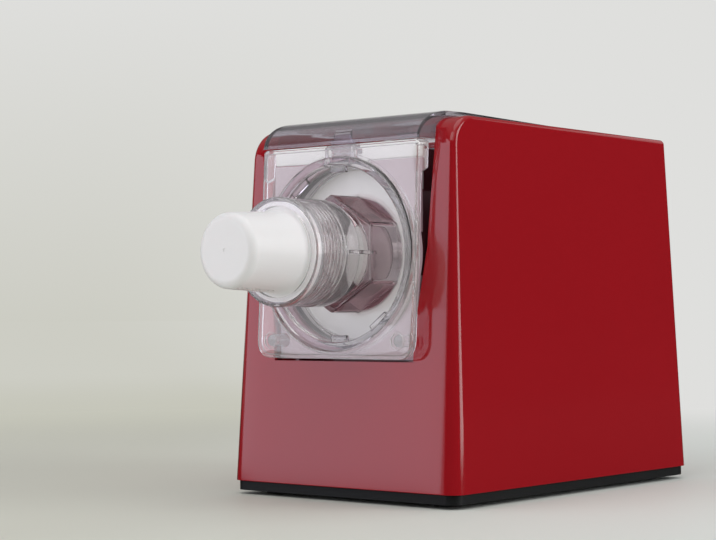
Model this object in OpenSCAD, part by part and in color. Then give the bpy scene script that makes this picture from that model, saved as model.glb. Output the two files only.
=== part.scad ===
// Electric pasta maker: tapered housing, clear front and lid, geared auger drive.
// Millimetres, +Z up, the table at z = 0, the nozzle pointing along -Y.

/* [Housing] */
// Height of the housing's top above the table
shell_top = 285; // [275:1:295]
// Height of the housing's lower edge
shell_bottom = 10.5; // [9.5:0.5:12]
// Width of the housing, carried down to the table
foot_w = 221.6; // [216:0.2:232]
// Depth of the housing, carried down to the table
foot_d = 329.5; // [326:0.5:336]
// Inward lean of each side wall, degrees
side_lean = 2.5; // [2:0.1:2.8]
// Backward lean of the front wall, degrees
front_lean = 3.47; // [3:0.01:3.9]
// Forward lean of the rear wall, degrees
rear_lean = 2.8; // [2.3:0.1:3.3]
// Wall of the housing
shell_wall = 3; // [2.4:0.1:3.4]
// Radius of the upright corners at the foot
foot_corner_r = 12; // [9:0.5:15]
// Radius of the edges round the top
top_edge_r = 4; // [3.8:0.1:5]
// Radius of the front top corners, seen from the side
pod_corner_r = 25; // [20:1:30]

/* [Bay] */
// Width of the bay between the side pods
bay_w = 156; // [154:0.5:159]
// Depth of the bay below the housing's top
bay_depth = 180.5; // [179:0.5:183]
// Wall of the bay
bay_wall = 2.2; // [1.8:0.1:2.6]
// Width of the lead-in bevel at the top of the bay's sides
bay_bevel = 13.5; // [11:0.5:15]
// Depth of that bevel, front to back
bevel_depth = 6.5; // [5:0.5:8]
// Height of the lead-in bevel, down from the housing's top
bevel_len = 95; // [85:1:105]

/* [Clear cover] */
// Width of the clear cover
cover_w = 152.6; // [150:0.2:153.4]
// How far the cover stands in front of the housing
cover_proud = 12; // [10:0.5:14]
// Wall of the cover
cover_wall = 3; // [2.5:0.1:3.4]
// Depth of the cover's rim at its top
cover_depth = 12; // [11:0.5:14]
// Depth of the cover's rim along its sides and foot
rim_depth = 4.8; // [4:0.2:6]
// Gap between the cover's lower edge and the bay's floor
cover_foot_gap = 2; // [1:0.5:3]
// Distance of the cover's upper edge below the housing's top
cover_drop = 18; // [16:0.5:19]
// Radius of the cover's lower corners
cover_corner_r = 13; // [9:1:16]
// Distance of the auger's axis below the housing's top
axis_drop = 100; // [99:0.5:101]
// Outer radius of the round bead
ring_r = 73; // [72.4:0.2:73.6]
// Radius inside the round dish
dish_r = 66; // [65:0.5:66.4]
// Depth of the dish behind the bead
dish_depth = 30; // [27:0.5:33]
// Radius of the six-sided boss over its corners
boss_r = 44.5; // [44:0.5:48]
// Length of the boss in front of the dish's floor
boss_len = 34; // [30:0.5:37]
// Radius of the threaded neck
neck_r = 36.6; // [36:0.2:37]
// Length of the neck in front of the boss
neck_len = 52.5; // [50:0.5:56]
// Radius of the barrel that the screw turns in
barrel_r = 28; // [27:0.5:28.5]
// Length of the thread at the neck's front
thread_len = 23.5; // [20:0.5:26]

/* [Ring nut and die] */
// Outer radius of the ring nut
nut_r = 40; // [39.6:0.2:42]
// Length of the ring nut
nut_len = 46.5; // [44:0.5:49]
// Radius of the ring nut's front opening
nut_mouth_r = 32.9; // [32:0.1:33.5]
// Thickness of the ring nut's front lip
nut_lip = 3.2; // [2.6:0.1:4]
// Thickness of the die's flange
die_flange = 3.4; // [2.8:0.1:4]
// How far the die stands out of the ring nut
die_reach = 53; // [48:0.5:58]
// Radius of the die where it leaves the nut
die_root_r = 29.5; // [28.6:0.1:30.4]
// Radius of the die near its closed end
die_nose_r = 27.2; // [26:0.1:28.2]
// Rounding of the die's closed end
die_round = 6; // [4:0.5:8]
// Wall of the die
die_wall = 3.6; // [3:0.1:4.4]
// Radius of each pasta hole
strand_r = 1.5; // [1:0.1:1.8]
// Distance between pasta holes
strand_pitch = 4.6; // [4.2:0.1:5]
// Thickness of the flat seals
seal_t = 1.7; // [1.4:0.1:2]

/* [Lid] */
// Wall of the lid
lid_wall = 3; // [2.4:0.1:3.2]
// Height of the lid's crown above the housing
lid_crown = 4.8; // [4.2:0.2:6]
// Length of the curved front corner, front to back
lid_nose_len = 38; // [32:1:42]
// Radius of the lid's rounded rear edge
lid_rear_r = 7.2; // [6.6:0.1:7.6]
// Radius of the hinge pins
hinge_pin_r = 2.5; // [2:0.1:2.8]

/* [Mixing drum and auger] */
// Inner radius of the mixing drum
drum_r = 70; // [69.5:0.1:70.3]
// Length of the mixing drum inside
drum_len = 156; // [154:0.5:158]
// Wall of the mixing drum
drum_wall = 2.5; // [2:0.1:2.8]
// Width of the filling throat
throat_w = 110; // [96:1:114]
// Radius of the auger's core
core_r = 10; // [9.6:0.2:11]
// Thickness of the screw's flight, along the axis
flight_t = 4; // [3:0.5:5]
// Length of one turn of the screw
screw_pitch = 26; // [22:1:30]
// Reach of the mixing arms from the axis
arm_r = 63; // [58:0.5:65]
// Width of each mixing arm
arm_w = 11; // [9:0.5:13]

/* [Drive] */
// Module of the output pair
slow_mod = 1.75; // [1.6:0.05:1.8]
// Module of the middle pair
middle_mod = 1.25; // [1.15:0.05:1.3]
// Module of the pair at the motor
fast_mod = 1; // [0.9:0.05:1.05]
// Teeth on each pinion
pinion_teeth = 12; // [12:1:14]
// Teeth on the output wheel
slow_teeth = 36; // [34:1:36]
// Teeth on the middle wheel
middle_teeth = 42; // [40:1:42]
// Teeth on the wheel that the motor turns
fast_teeth = 48; // [44:1:48]
// Width of the output pair
slow_w = 14; // [12:1:15]
// Width of the middle pair
middle_w = 10; // [9:1:11]
// Width of the pair at the motor
fast_w = 8; // [7:1:9]
// Play between meshing teeth
backlash = 0.16; // [0.12:0.01:0.2]
// Radius of the output shaft
shaft_r = 8; // [7:0.5:9]
// Radius of the fixed gear axles
axle_r = 4; // [3.5:0.5:4.5]
// Radius of the motor's shaft
motor_shaft_r = 3.4; // [3:0.1:3.6]
// Side of the square stator stack
stator_w = 76; // [72:1:80]
// Length of the stator stack
stator_len = 40; // [34:1:42]
// Radius of the rotor
rotor_r = 21; // [19:0.5:23]
// Radius of the cooling fan
fan_r = 34; // [30:1:36]

/* [Controls] */
// Width of the control panel
panel_w = 124; // [116:1:136]
// Depth of the control panel
panel_d = 64; // [58:1:70]
// Radius of the power button
power_r = 9; // [8:0.5:10]
// Radius of the other buttons
key_r = 7.5; // [6:0.5:8]
// Travel of every button
key_travel = 1; // [0.6:0.1:1.2]
// Distance between the buttons
key_pitch = 27; // [24:1:28]

/* [Base] */
// Thickness of the rubber feet below the base plate
foot_t = 3; // [2.5:0.5:4]
// Radius of the rubber feet
foot_r = 11; // [9:0.5:13]
// Width of the rear cover
hatch_w = 150; // [140:1:160]
// Height of the rear cover
hatch_h = 190; // [170:1:200]
// Radius of the mains cord that the gland takes
cord_r = 3.6; // [3:0.1:4]

/* [Hidden] */

$fn = 96;
far = 400;
slip = 0.05;       // radial clearance of a running fit
seat = 0.2;        // gap between pieces that lie against each other
hull_fn = 32;

red = [0.55, 0.05, 0.08];
clear = [0.78, 0.76, 0.80, 0.4];
black = [0.10, 0.10, 0.11];
steel = [0.62, 0.63, 0.65];

// Outer planes of the housing at height z, from the middle of its foot
function half_w(z) = foot_w / 2 - tan(side_lean) * z;
function front_y(z) = -foot_d / 2 + tan(front_lean) * z;
function rear_y(z) = foot_d / 2 - tan(rear_lean) * z;

// Heights that hang from the housing's top
axis_z = shell_top - axis_drop;
bay_floor_z = shell_top - bay_depth;
bevel_end_z = shell_top - bevel_len;
cover_top_z = shell_top - cover_drop;

// Stations along the auger's axis
ring_y = front_y(axis_z) - cover_proud - 0.5;
dish_y = ring_y + dish_depth;
boss_y = dish_y - boss_len;
neck_y = boss_y - neck_len;
flange_y = neck_y - seal_t;
nut_face_y = flange_y - die_flange - seat - nut_lip;
nut_rear_y = nut_face_y + nut_len;
die_face_y = nut_face_y - die_reach;
drum_front_y = ring_y + cover_depth + 2;
drum_back_y = drum_front_y + drum_len;
bay_rear_y = drum_back_y + drum_wall + 12;
y_shift = -(die_face_y + rear_y(shell_bottom)) / 2;

cover_bottom_z = bay_floor_z + cover_foot_gap;
plug_r = dish_r + 2.8;
inner_boss_r = boss_r - 3.5;
neck_root_r = neck_r - 0.6;
nut_bore_r = neck_r + 2 * slip;
skirt_bore_r = nut_bore_r + 1.6;
throat_y = [drum_front_y + 24, drum_back_y - 12];
throat_top_z = cover_top_z - 4;

hinge_y = bay_rear_y - lid_rear_r - 1.4;
hinge_z = shell_top + lid_crown - 1.6 - lid_rear_r;
lid_foot_z = cover_top_z + 0.8;
lid_front_y = front_y(cover_top_z) - cover_proud;
lid_top_z = shell_top + lid_crown;

// Gear train from the output to the motor: heights of the axes, stations of the layers
gear_mod = [slow_mod, middle_mod, fast_mod];
wheel_teeth = [slow_teeth, middle_teeth, fast_teeth];
gear_w = [slow_w, middle_w, fast_w];
layer_gap = 2;
function pitch_r(teeth, m) = teeth * m / 2;
function centres(i) = pitch_r(pinion_teeth + wheel_teeth[i], gear_mod[i]) + 0.05;
second_z = axis_z - centres(0);
first_z = second_z - centres(1);
motor_z = first_z - centres(2);
box_y = bay_rear_y + bay_wall + seat;
box_wall = 4;
slow_y = box_y + box_wall + 3;
middle_y = slow_y + slow_w + layer_gap;
fast_y = middle_y + middle_w + layer_gap;
layer_y = [slow_y, middle_y, fast_y];
box_end_y = fast_y + fast_w + layer_gap;
lid_box_y = box_end_y + box_wall;
stator_y = lid_box_y + 13;
fan_y = stator_y + stator_len + 14;

bush_r = shaft_r + 4;
bush_y = middle_y + middle_w + 0.6;

panel_y = bay_rear_y + 28 + panel_d / 2;
panel_t = 2.6;
board_z = shell_top - 18;
board_t = 1.6;
plate_z = foot_t;
hatch_z = shell_top / 2 - 2.5;
gland_x = 60;
gland_z = 29;
gland_r = 7.4;
gland_y = rear_y(gland_z) - 2.5;

// Moves a piece drawn from the middle of the foot into the part's own frame
module framed() translate([0, y_shift, 0]) children();

module rod_y(r, y0, y1, x = 0, z = axis_z)
  translate([x, y0, z]) rotate([-90, 0, 0]) cylinder(r = r, h = y1 - y0);

module tube_y(r_out, r_in, y0, y1, x = 0, z = axis_z)
  difference() {
    rod_y(r_out, y0, y1, x, z);
    rod_y(r_in, y0 - 1, y1 + 1, x, z);
  }

module hex_y(r, y0, y1)
  translate([0, y0, axis_z]) rotate([-90, 0, 0]) rotate(30) cylinder(r = r, h = y1 - y0, $fn = 6);

// Turned piece about an axis along Y: points are [radius, y]
module turned_y(points, z = axis_z)
  translate([0, 0, z]) rotate([-90, 0, 0]) rotate_extrude() polygon(points);

module eight_sided(r, y0, y1, r1 = 0) // eight-sided rod round the cord: r to its flats
  translate([gland_x, y0, gland_z]) rotate([-90, 0, 0]) rotate(22.5)
    cylinder(r1 = r / cos(22.5), r2 = (r1 > 0 ? r1 : r) / cos(22.5), h = y1 - y0, $fn = 8);

module box_between(a, b) translate(a) cube(b - a);

module rounded(w, d, r) // plate outline with round corners, centred
  translate([-w / 2, -d / 2]) {
    translate([r, 0]) square([w - 2 * r, d]);
    translate([0, r]) square([w, d - 2 * r]);
    for (x = [r, w - r], y = [r, d - r]) translate([x, y]) circle(r);
  }

module screw(r, len) { // pan-head screw along -Z, head above z = 0
  translate([0, 0, -len]) cylinder(r = r, h = len);
  difference() {
    cylinder(r = 1.9 * r, h = 1.1 * r);
    translate([0, 0, 0.5 * r]) cube([2.4 * r, 0.5 * r, 2 * r], center = true);
    translate([0, 0, 0.5 * r]) cube([0.5 * r, 2.4 * r, 2 * r], center = true);
  }
}

// ---- Housing ----

// The housing's outer form, drawn in by g: round corners that grow from a few
// millimetres at the top to foot_corner_r at the foot, and a rounder front top
module tapered_form(g) {
  disc_z = shell_top - pod_corner_r;
  hull($fn = hull_fn)
    for (s = [-1, 1]) {
      for (y = [front_y(shell_bottom) + foot_corner_r, rear_y(shell_bottom) - foot_corner_r])
        translate([s * (half_w(shell_bottom) - foot_corner_r), y, shell_bottom - (g > 0 ? 4 : 0)])
          cylinder(r = foot_corner_r - g, h = 0.5, $fn = 2 * hull_fn);
      translate([
        s * (half_w(shell_top) - top_edge_r),
        rear_y(shell_top) - top_edge_r,
        shell_top - top_edge_r
      ]) sphere(r = top_edge_r - g, $fn = hull_fn);
      translate([s * (half_w(disc_z) - top_edge_r), front_y(disc_z) + pod_corner_r, disc_z])
        rotate([0, 90 - s * side_lean, 0])
          rotate_extrude($fn = 2 * hull_fn)
            translate([pod_corner_r - top_edge_r, 0]) circle(r = top_edge_r - g, $fn = 16);
    }
}

// Frame of a plane that leans with the housing's front, proud of it: local XY is the plane,
// Z points back
module at_front(proud)
  translate([0, front_y(0) - proud, 0]) rotate([-front_lean, 0, 0])
    rotate([90, 0, 0]) mirror([0, 0, 1]) children();

// Wedge that bevels the mouth of the bay, from nothing at bevel_end_z upwards; moved back by g
module bay_bevel_cut(s, g = 0) {
  end_z = shell_top + 10;
  w = (bay_bevel + 1) * (end_z - bevel_end_z) / bevel_len; // at end_z, from the wedge's foot
  d = bevel_depth * w / bay_bevel;
  translate([s * g / 2, g, 0]) hull() {
    translate([s * (bay_w / 2 - 1), front_y(bevel_end_z), bevel_end_z]) cube(0.02, center = true);
    for (p = [[-2, -2], [3 * w, -2 * d], [-2, d + 2 * d / w]])
      translate([s * (bay_w / 2 - 1 + p[0]), front_y(end_z) + p[1], end_z]) cube(0.02, center = true);
  }
}

// Web left standing across each lower corner of the bay's mouth, flush with the front
module bay_web(s)
  at_front(0) translate([0, 0, -20]) linear_extrude(20 + shell_wall) polygon([
    [s * web_x, bay_floor_z - 2], [s * web_x, web_z], [s * (bay_w / 2), web_top_z],
    [s * (bay_w / 2 + 1), web_top_z], [s * (bay_w / 2 + 1), bay_floor_z - 2]
  ]);

// The bay, open to the front and top, with a bevelled edge at its rear
module bay_space()
  rotate([90, 0, 90]) translate([0, 0, -bay_w / 2]) linear_extrude(bay_w)
    polygon([
      [-far, bay_floor_z], [bay_rear_y, bay_floor_z], [bay_rear_y, shell_top - 2],
      [bay_rear_y + 12, shell_top + 10], [-far, shell_top + 10]
    ]);

module at_rear(z) // frame on the rear wall: local XY is the wall, Z points out
  translate([0, rear_y(z), z]) rotate([90 - rear_lean, 0, 180]) children();

module drum_cradle(y)
  difference() {
    box_between([-46, y, bay_floor_z - 0.5], [46, y + 4, axis_z - drum_r + 14]);
    rod_y(drum_r + drum_wall + seat, y - 1, y + 5);
  }

module cover_rest(s) // block at each lower corner of the bay that takes the cover's peg
  difference() {
    box_between(
      [s > 0 ? bay_w / 2 - 24 : -bay_w / 2 - 1, ring_y + 20, bay_floor_z - 0.5],
      [s > 0 ? bay_w / 2 + 1 : -bay_w / 2 + 24, ring_y + 44, bay_floor_z + 26]
    );
    rod_y(peg_r + seat, ring_y + 19, ring_y + 36, s * peg_x, peg_z);
    rod_y(drum_r + drum_wall + 1, ring_y, ring_y + 60);
  }

peg_x = 62;
peg_z = bay_floor_z + 15.5;
peg_r = 4.5;
web_x = peg_x + peg_r + 1.5;
web_z = bay_floor_z + 23.5;
web_top_z = bevel_end_z;

module body_shell() framed() color(red) {
  difference() {
    tapered_form(0);
    difference() {
      tapered_form(shell_wall);
      box_between(
        [-bay_w / 2 - bay_wall, -far, bay_floor_z - bay_wall],
        [bay_w / 2 + bay_wall, bay_rear_y + bay_wall, far]
      );
      for (s = [-1, 1]) bay_bevel_cut(s, shell_wall);
      eight_sided(12, rear_y(gland_z) - 9, rear_y(gland_z));
      at_rear(hatch_z) translate([0, 0, -hatch_t - 3]) linear_extrude(4)
        rounded(hatch_w + 8, hatch_h + 8, 12);
      for (p = hatch_screws) at_rear(hatch_z) translate([p[0], p[1], -16]) cylinder(r = 4, h = 12);
      for (p = base_points) translate([p[0], p[1], shell_bottom + seat]) {
        cylinder(r = 4.5, h = 20);
        translate([-1.2, p[1] > 0 ? 0 : -30, 5]) cube([2.4, 30, 15]);
      }
    }
    for (p = base_points) translate([p[0], p[1], 0]) cylinder(r = base_screw_r + 0.05, h = 26);
    for (p = hatch_screws) at_rear(hatch_z) translate([p[0], p[1], -14.5]) cylinder(r = 1.55, h = 20);
    difference() {
      bay_space();
      for (s = [-1, 1]) bay_web(s);
    }
    for (s = [-1, 1]) bay_bevel_cut(s);
    rod_y(bush_r, bay_rear_y - 1, bay_rear_y + bay_wall + 1);
    translate([0, panel_y, shell_top - 10])
      linear_extrude(20) rounded(panel_w + 2 * seat, panel_d + 2 * seat, 6);
    at_rear(hatch_z) translate([0, 0, -hatch_t - seat / 2]) linear_extrude(20) rounded(hatch_w, hatch_h, 8);
    at_rear(hatch_z) translate([0, 0, -10]) linear_extrude(20)
      rounded(hatch_w - 2 * hatch_lip, hatch_h - 2 * hatch_lip, 4);
    eight_sided(gland_r + seat, rear_y(gland_z) - 20, far);
    eight_sided(gland_r + 4, gland_y, far);
    for (s = [-1, 1])
      translate([s * bay_w / 2, hinge_y, hinge_z]) rotate([0, 90, 0])
        cylinder(r = hinge_pin_r + 0.02, h = 2 * bay_wall + 2, center = true);
  }
  for (y = [drum_front_y + 26, drum_back_y - 26]) drum_cradle(y);
  for (s = [-1, 1]) {
    cover_rest(s);
    translate([s * (bay_w / 2 - 1.2), drum_back_y - 60, lid_foot_z - 3])
      cube([4, 20, 5.6 - 2 * seat], center = true);
  }
}

module rear_cover() framed() color(red)
  difference() {
    at_rear(hatch_z) {
      translate([0, 0, -hatch_t]) linear_extrude(hatch_t)
        rounded(hatch_w - 2 * seat, hatch_h - 2 * seat, 7.8);
      translate([0, 0, -hatch_t - 3]) linear_extrude(3.5) difference() {
        rounded(hatch_w - 2 * hatch_lip - 2 * seat, hatch_h - 2 * hatch_lip - 2 * seat, 4);
        rounded(hatch_w - 2 * hatch_lip - 5, hatch_h - 2 * hatch_lip - 5, 3);
      }
    }
    for (i = [0:9])
      at_rear(hatch_z) translate([0, -70 + 8 * i, 0])
        cube([96, 3.4, 20], center = true);
    for (p = hatch_screws) at_rear(hatch_z) translate([p[0], p[1], -10]) {
      cylinder(r = 1.8, h = 20);
      translate([0, 0, 10 - hatch_t + 1]) cylinder(r = 3.4, h = 5);
    }
  }

hatch_t = 2.6;
hatch_lip = 9;
hatch_screws = [for (x = [-1, 1], y = [-1, 1]) [x * (hatch_w / 2 - 5), y * (hatch_h / 2 - 5)]];

module rear_screws() framed() color(steel)
  for (p = hatch_screws) at_rear(hatch_z) translate([p[0], p[1], 1 - hatch_t + 0.02]) screw(1.45, 12);

module base_plate() framed() color(black) {
  deck_z = shell_bottom - 3;
  depth = rear_y(shell_bottom) - front_y(shell_bottom);
  difference() {
    union() {
      translate([0, 0, plate_z]) linear_extrude(shell_bottom - plate_z)
        rounded(2 * half_w(shell_bottom) - 5, depth - 5, foot_corner_r - 2.5);
      translate([0, 0, shell_bottom - 1]) linear_extrude(5) rounded(
        2 * (half_w(shell_bottom) - shell_wall - 0.6), depth - 2 * (shell_wall + 0.6),
        foot_corner_r - shell_wall - 0.6
      );
    }
    translate([0, 0, shell_bottom]) linear_extrude(5) rounded(
      2 * (half_w(shell_bottom) - shell_wall - 2.6), depth - 2 * (shell_wall + 2.6),
      foot_corner_r - shell_wall - 2.6
    );
    difference() {
      translate([0, 0, -1]) linear_extrude(deck_z + 1)
        rounded(2 * half_w(shell_bottom) - 11, depth - 11, foot_corner_r - 5.5);
      for (p = foot_points) translate([p[0], p[1], plate_z]) cylinder(r = foot_r + 3, h = 9);
      for (p = base_points) translate([p[0], p[1], plate_z]) cylinder(r = 6.5, h = 9);
      for (x = [-1, 1]) translate([x * foot_w / 6 - 1, -foot_d / 2, plate_z + 1]) cube([2, foot_d, 9]);
    }
    for (i = [-3:3])
      translate([9 * i, stator_y + stator_len / 2, 0]) cube([3.4, 46, 60], center = true);
    for (p = foot_points) translate([p[0], p[1], 0]) cylinder(r = foot_r + 0.4, h = plate_z + 1.5);
    for (p = base_points) translate([p[0], p[1], 0]) {
      cylinder(r = 2, h = 20);
      cylinder(r = 4.2, h = plate_z + 3);
    }
  }
  for (p = board_posts) translate([p[0], p[1], shell_bottom - 1]) difference() {
    cylinder(r = 4, h = 6);
    translate([0, 0, 1]) cylinder(r = board_screw_r + 0.05, h = 6);
  }
  for (p = cradle_points) translate([p[0], p[1], shell_bottom - 1]) cylinder(r = 7, h = 3);
}

base_screw_r = 1.8;
board_screw_r = 1.4;
foot_points = [for (x = [-1, 1], y = [-1, 1]) [x * (foot_w / 2 - 28), y * (foot_d / 2 - 28)]];
base_points = [for (x = [-1, 1], y = [-1, 1]) [x * (gland_x - 25), y * (foot_d / 2 - 24)]];
power_w = 116; // power board: width, depth, middle and height of its underside
power_d = 74;
power_y = front_y(0) + 64.75;
power_z = shell_bottom + 5;
power_top = power_z + board_t;
board_posts = [
  for (x = [-1, 1], y = [-1, 1]) [x * (power_w / 2 - 8), power_y + y * (power_d / 2 - 7)]
];
cradle_points = [
  for (x = [-1, 1], y = [6, stator_len - 6]) [x * (stator_w / 2 + 9), stator_y + y]
];

module feet() framed() color([0.08, 0.08, 0.08])
  for (p = foot_points) translate([p[0], p[1], 0]) {
    cylinder(r1 = foot_r - 0.8, r2 = foot_r, h = 1);
    translate([0, 0, 1]) cylinder(r = foot_r, h = plate_z + 0.5 - seat);
  }

module base_screws() framed() color(steel)
  for (p = base_points) translate([p[0], p[1], plate_z + 3 - seat])
    rotate([180, 0, 0]) screw(base_screw_r, shell_bottom - plate_z + 4);

// ---- Controls on the top, behind the lid ----

key_row = [for (i = [0:3]) (i - 1.5) * key_pitch];
function key_radius(i) = i == 0 ? power_r : key_r;

module control_panel() framed() color([0.03, 0.03, 0.035])
  difference() {
    union() {
      translate([0, panel_y, shell_top - panel_t]) linear_extrude(panel_t)
        rounded(panel_w, panel_d, 5.8);
      translate([0, panel_y, shell_top - shell_wall - 2.2]) linear_extrude(2)
        rounded(panel_w + 8, panel_d + 8, 8);
      translate([0, panel_y, shell_top - shell_wall - 2]) linear_extrude(shell_wall)
        rounded(panel_w - 4, panel_d - 4, 4);
      for (p = panel_posts) translate([p[0], p[1], board_z + board_t])
        cylinder(r = 3, h = shell_top - 4 - board_z);
    }
    for (i = [0:3]) {
      translate([key_row[i], panel_y, shell_top - 30]) cylinder(r = key_radius(i) + 0.25, h = 40);
      translate([key_row[i], panel_y, shell_top - 30])
        cylinder(r = key_radius(i) + 1.6, h = 30 - panel_t);
      translate([key_row[i], panel_y + 17, shell_top - 30]) cylinder(r = 1.6, h = 40);
    }
    for (p = panel_posts) translate([p[0], p[1], board_z]) cylinder(r = 1.1, h = 9);
  }

panel_posts = [
  for (x = [-1, 1], y = [-1, 1]) [x * (panel_w / 2 - 6), panel_y + y * (panel_d / 2 - 7)]
];

module key(i)
  framed() translate([key_row[i], panel_y, 0]) {
    top = shell_top + 1.2;
    r = key_radius(i);
    translate([0, 0, shell_top - panel_t - 1]) rotate_extrude()
      polygon([
        [0, 0], [r, 0], [r, 1 + panel_t + 0.4], [r - 0.8, 1 + panel_t + 1.2],
        [r * 0.6, 1 + panel_t + 0.95], [0, 1 + panel_t + 0.8]
      ]);
    translate([0, 0, shell_top - panel_t - 1.6 - 0.15]) cylinder(r = r + 1.1, h = 1.6);
    translate([0, 0, board_z + 5.6 + key_travel + 0.2])
      cylinder(r = 2.4, h = top - 4 - (board_z + 5.6 + key_travel + 0.2));
  }

module power_button() color([0.75, 0.10, 0.10]) key(0);
module start_button() color([0.75, 0.75, 0.76]) key(1);
module mix_button() color([0.75, 0.75, 0.76]) key(2);
module press_button() color([0.75, 0.75, 0.76]) key(3);

module light_pipes() framed() color([0.85, 0.88, 0.90, 0.6])
  for (x = key_row) translate([x, panel_y + 17, board_z + board_t]) {
    cylinder(r = 1.5, h = shell_top - board_z - board_t);
    cylinder(r = 2.4, h = 2);
  }

module control_board() framed() color([0.05, 0.30, 0.14])
  difference() {
    translate([0, panel_y, board_z]) linear_extrude(board_t) rounded(panel_w - 2, panel_d - 4, 2);
    for (p = panel_posts) translate([p[0], p[1], board_z - 1]) cylinder(r = 1.3, h = 4);
  }

module key_switches() framed() color([0.15, 0.15, 0.16])
  for (x = key_row) translate([x, panel_y, board_z + board_t]) {
    translate([-3, -3, 0]) cube([6, 6, 3]);
    cylinder(r = 1.8, h = 4);
  }

module board_screws() framed() color(steel) {
  for (p = panel_posts) translate([p[0], p[1], board_z]) rotate([180, 0, 0]) screw(1.05, 7);
  for (p = board_posts) translate([p[0], p[1], power_top + 0.02]) screw(board_screw_r, 6);
}

// ---- Mains side, under the bay ----

module power_board() framed() color([0.05, 0.30, 0.14])
  difference() {
    translate([0, power_y, power_z]) linear_extrude(board_t) rounded(power_w, power_d, 3);
    for (p = board_posts) translate([p[0], p[1], shell_bottom]) cylinder(r = 1.5, h = 10);
  }

module transformer() framed() color([0.18, 0.18, 0.20])
  translate([-power_w / 5, power_y - 4, power_top]) {
    translate([-16, -20, 0]) cube([32, 40, 28]);
    translate([-22, -13, 4]) cube([44, 26, 20]);
  }

module capacitor() framed() color([0.85, 0.85, 0.82])
  translate([power_w / 4, power_y - 18, power_top + cap_r]) rotate([-90, 0, 0]) {
    cylinder(r = cap_r, h = 46);
    translate([-4, -1, 46]) cube([8, 2, 6]);
  }

cap_r = 15; // motor capacitor, lying on the board

module terminal_block() framed() color([0.80, 0.80, 0.76])
  translate([gland_x - 14, gland_y - 35, shell_bottom + 0.02])
    difference() {
      cube([28, 16, 18]);
      for (x = [5.5, 14, 22.5]) translate([x, 8, 9]) cylinder(r = 2.2, h = 12, $fn = 32);
    }

module cord_gland() framed() color(black) // its eight flats keep it from turning in the wall
  difference() {
    union() {
      eight_sided(gland_r - 1.2, gland_y - 17, gland_y - 11, gland_r);
      eight_sided(gland_r, gland_y - 11, gland_y);
      eight_sided(gland_r + 3.6, gland_y, gland_y + 1.6);
      eight_sided(gland_r + 3.6, gland_y + 1.6, gland_y + 2.3, gland_r + 2.8);
    }
    rod_y(cord_r, gland_y - 18, gland_y + 4, gland_x, gland_z);
  }

// ---- Clear lid ----

// Side outline of the lid, drawn in by g: an upright foot, a quarter ellipse,
// a nearly flat crown and a rear edge that is round about the hinge pins
function lid_outline(g, foot) = concat(
  [[lid_front_y + g, foot]],
  [for (a = [0:6:90]) [
    lid_front_y + lid_nose_len - (lid_nose_len - g) * cos(a),
    lid_foot_z + (lid_top_z - lid_foot_z - g) * sin(a)
  ]],
  [[lid_front_y + lid_nose_len + 18, lid_top_z + 0.3 - g]],
  [for (a = [90:-10:-30]) [
    hinge_y + (lid_rear_r - g) * cos(a), hinge_z + (lid_rear_r - g) * sin(a)
  ]],
  [[hinge_y - 12, foot]]
);

module lid_slab(g, w, foot)
  rotate([90, 0, 90]) translate([0, 0, -w / 2]) linear_extrude(w) polygon(lid_outline(g, foot));

module lid() framed() color(clear)
  difference() {
    union() {
      difference() {
        lid_slab(0, cover_w, lid_foot_z);
        lid_slab(lid_wall, cover_w - 2 * lid_wall, lid_foot_z - 5);
      }
      for (s = [-1, 1]) {
        translate([s * (cover_w / 2 - 3.5), hinge_y, hinge_z]) rotate([0, 90, 0])
          cylinder(r = lid_rear_r - 0.8, h = 7, center = true);
        translate([s * 8.75, lid_front_y + cover_wall + 3.2, lid_foot_z - 1]) cube([2.5, 4, 8], center = true);
      }
      box_between(
        [-8, lid_front_y + cover_wall + 2.2, cover_top_z - 11.5],
        [8, lid_front_y + cover_wall + 4.8, lid_foot_z + 10.5]
      );
      translate([-cover_w / 2 + 5.5, drum_back_y - 50, lid_foot_z + 5])
        cube([7, 18, 10], center = true);
      translate([0, lid_front_y + 46, lid_top_z - 0.3])
        rotate_extrude(angle = 180) translate([30, 0]) circle(r = 1.3, $fn = 24);
    }
    for (s = [-1, 1])
      translate([s * cover_w / 2, hinge_y, hinge_z]) rotate([0, 90, 0])
        cylinder(r = hinge_pin_r + slip, h = 18, center = true);
    translate([-cover_w / 2 + 5, drum_back_y - 50, lid_foot_z + 10.4])
      cube([4.2, 14.2, 20], center = true);
  }

module hinge_pins() framed() color(steel)
  for (s = [-1, 1])
    translate([s * (bay_w / 2 - 2.8), hinge_y, hinge_z]) rotate([0, 90, 0])
      cylinder(r = hinge_pin_r, h = 10, center = true);

module lid_magnet() framed() color([0.70, 0.70, 0.72])
  translate([-cover_w / 2 + 5, drum_back_y - 50, lid_foot_z + 5]) cube([4, 14, 9], center = true);

module lid_switch() framed() color([0.15, 0.15, 0.16])
  translate([-bay_w / 2 - bay_wall - 2.1, drum_back_y - 50, lid_foot_z + 5])
    cube([4, 22, 8], center = true);

// ---- Clear front cover ----

module cover_outline(g) {
  up = 1 / cos(front_lean);
  low = cover_bottom_z * up + g;
  high = cover_top_z * up - g;
  w = cover_w - 2 * g;
  r = cover_corner_r - g;
  translate([0, (low + high) / 2]) rounded(w, high - low, r);
  translate([-w / 2, high - 2 * r]) square([w, 2 * r]);
}

bead_wall = 2.4;  // wall round the bead, where the plate stands in front of it
rim_top_z = cover_top_z - 20; // the rim has its full depth above this height
notch_w = 21.2;   // gap in the upper rim for the lid's tongue

module bayonet_lug(a, span)
  translate([0, ring_y + 4, axis_z]) rotate([90, span / 2 - a, 0])
    rotate_extrude(angle = span) translate([dish_r - 5, -3]) square([5.5, 3]);

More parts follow.
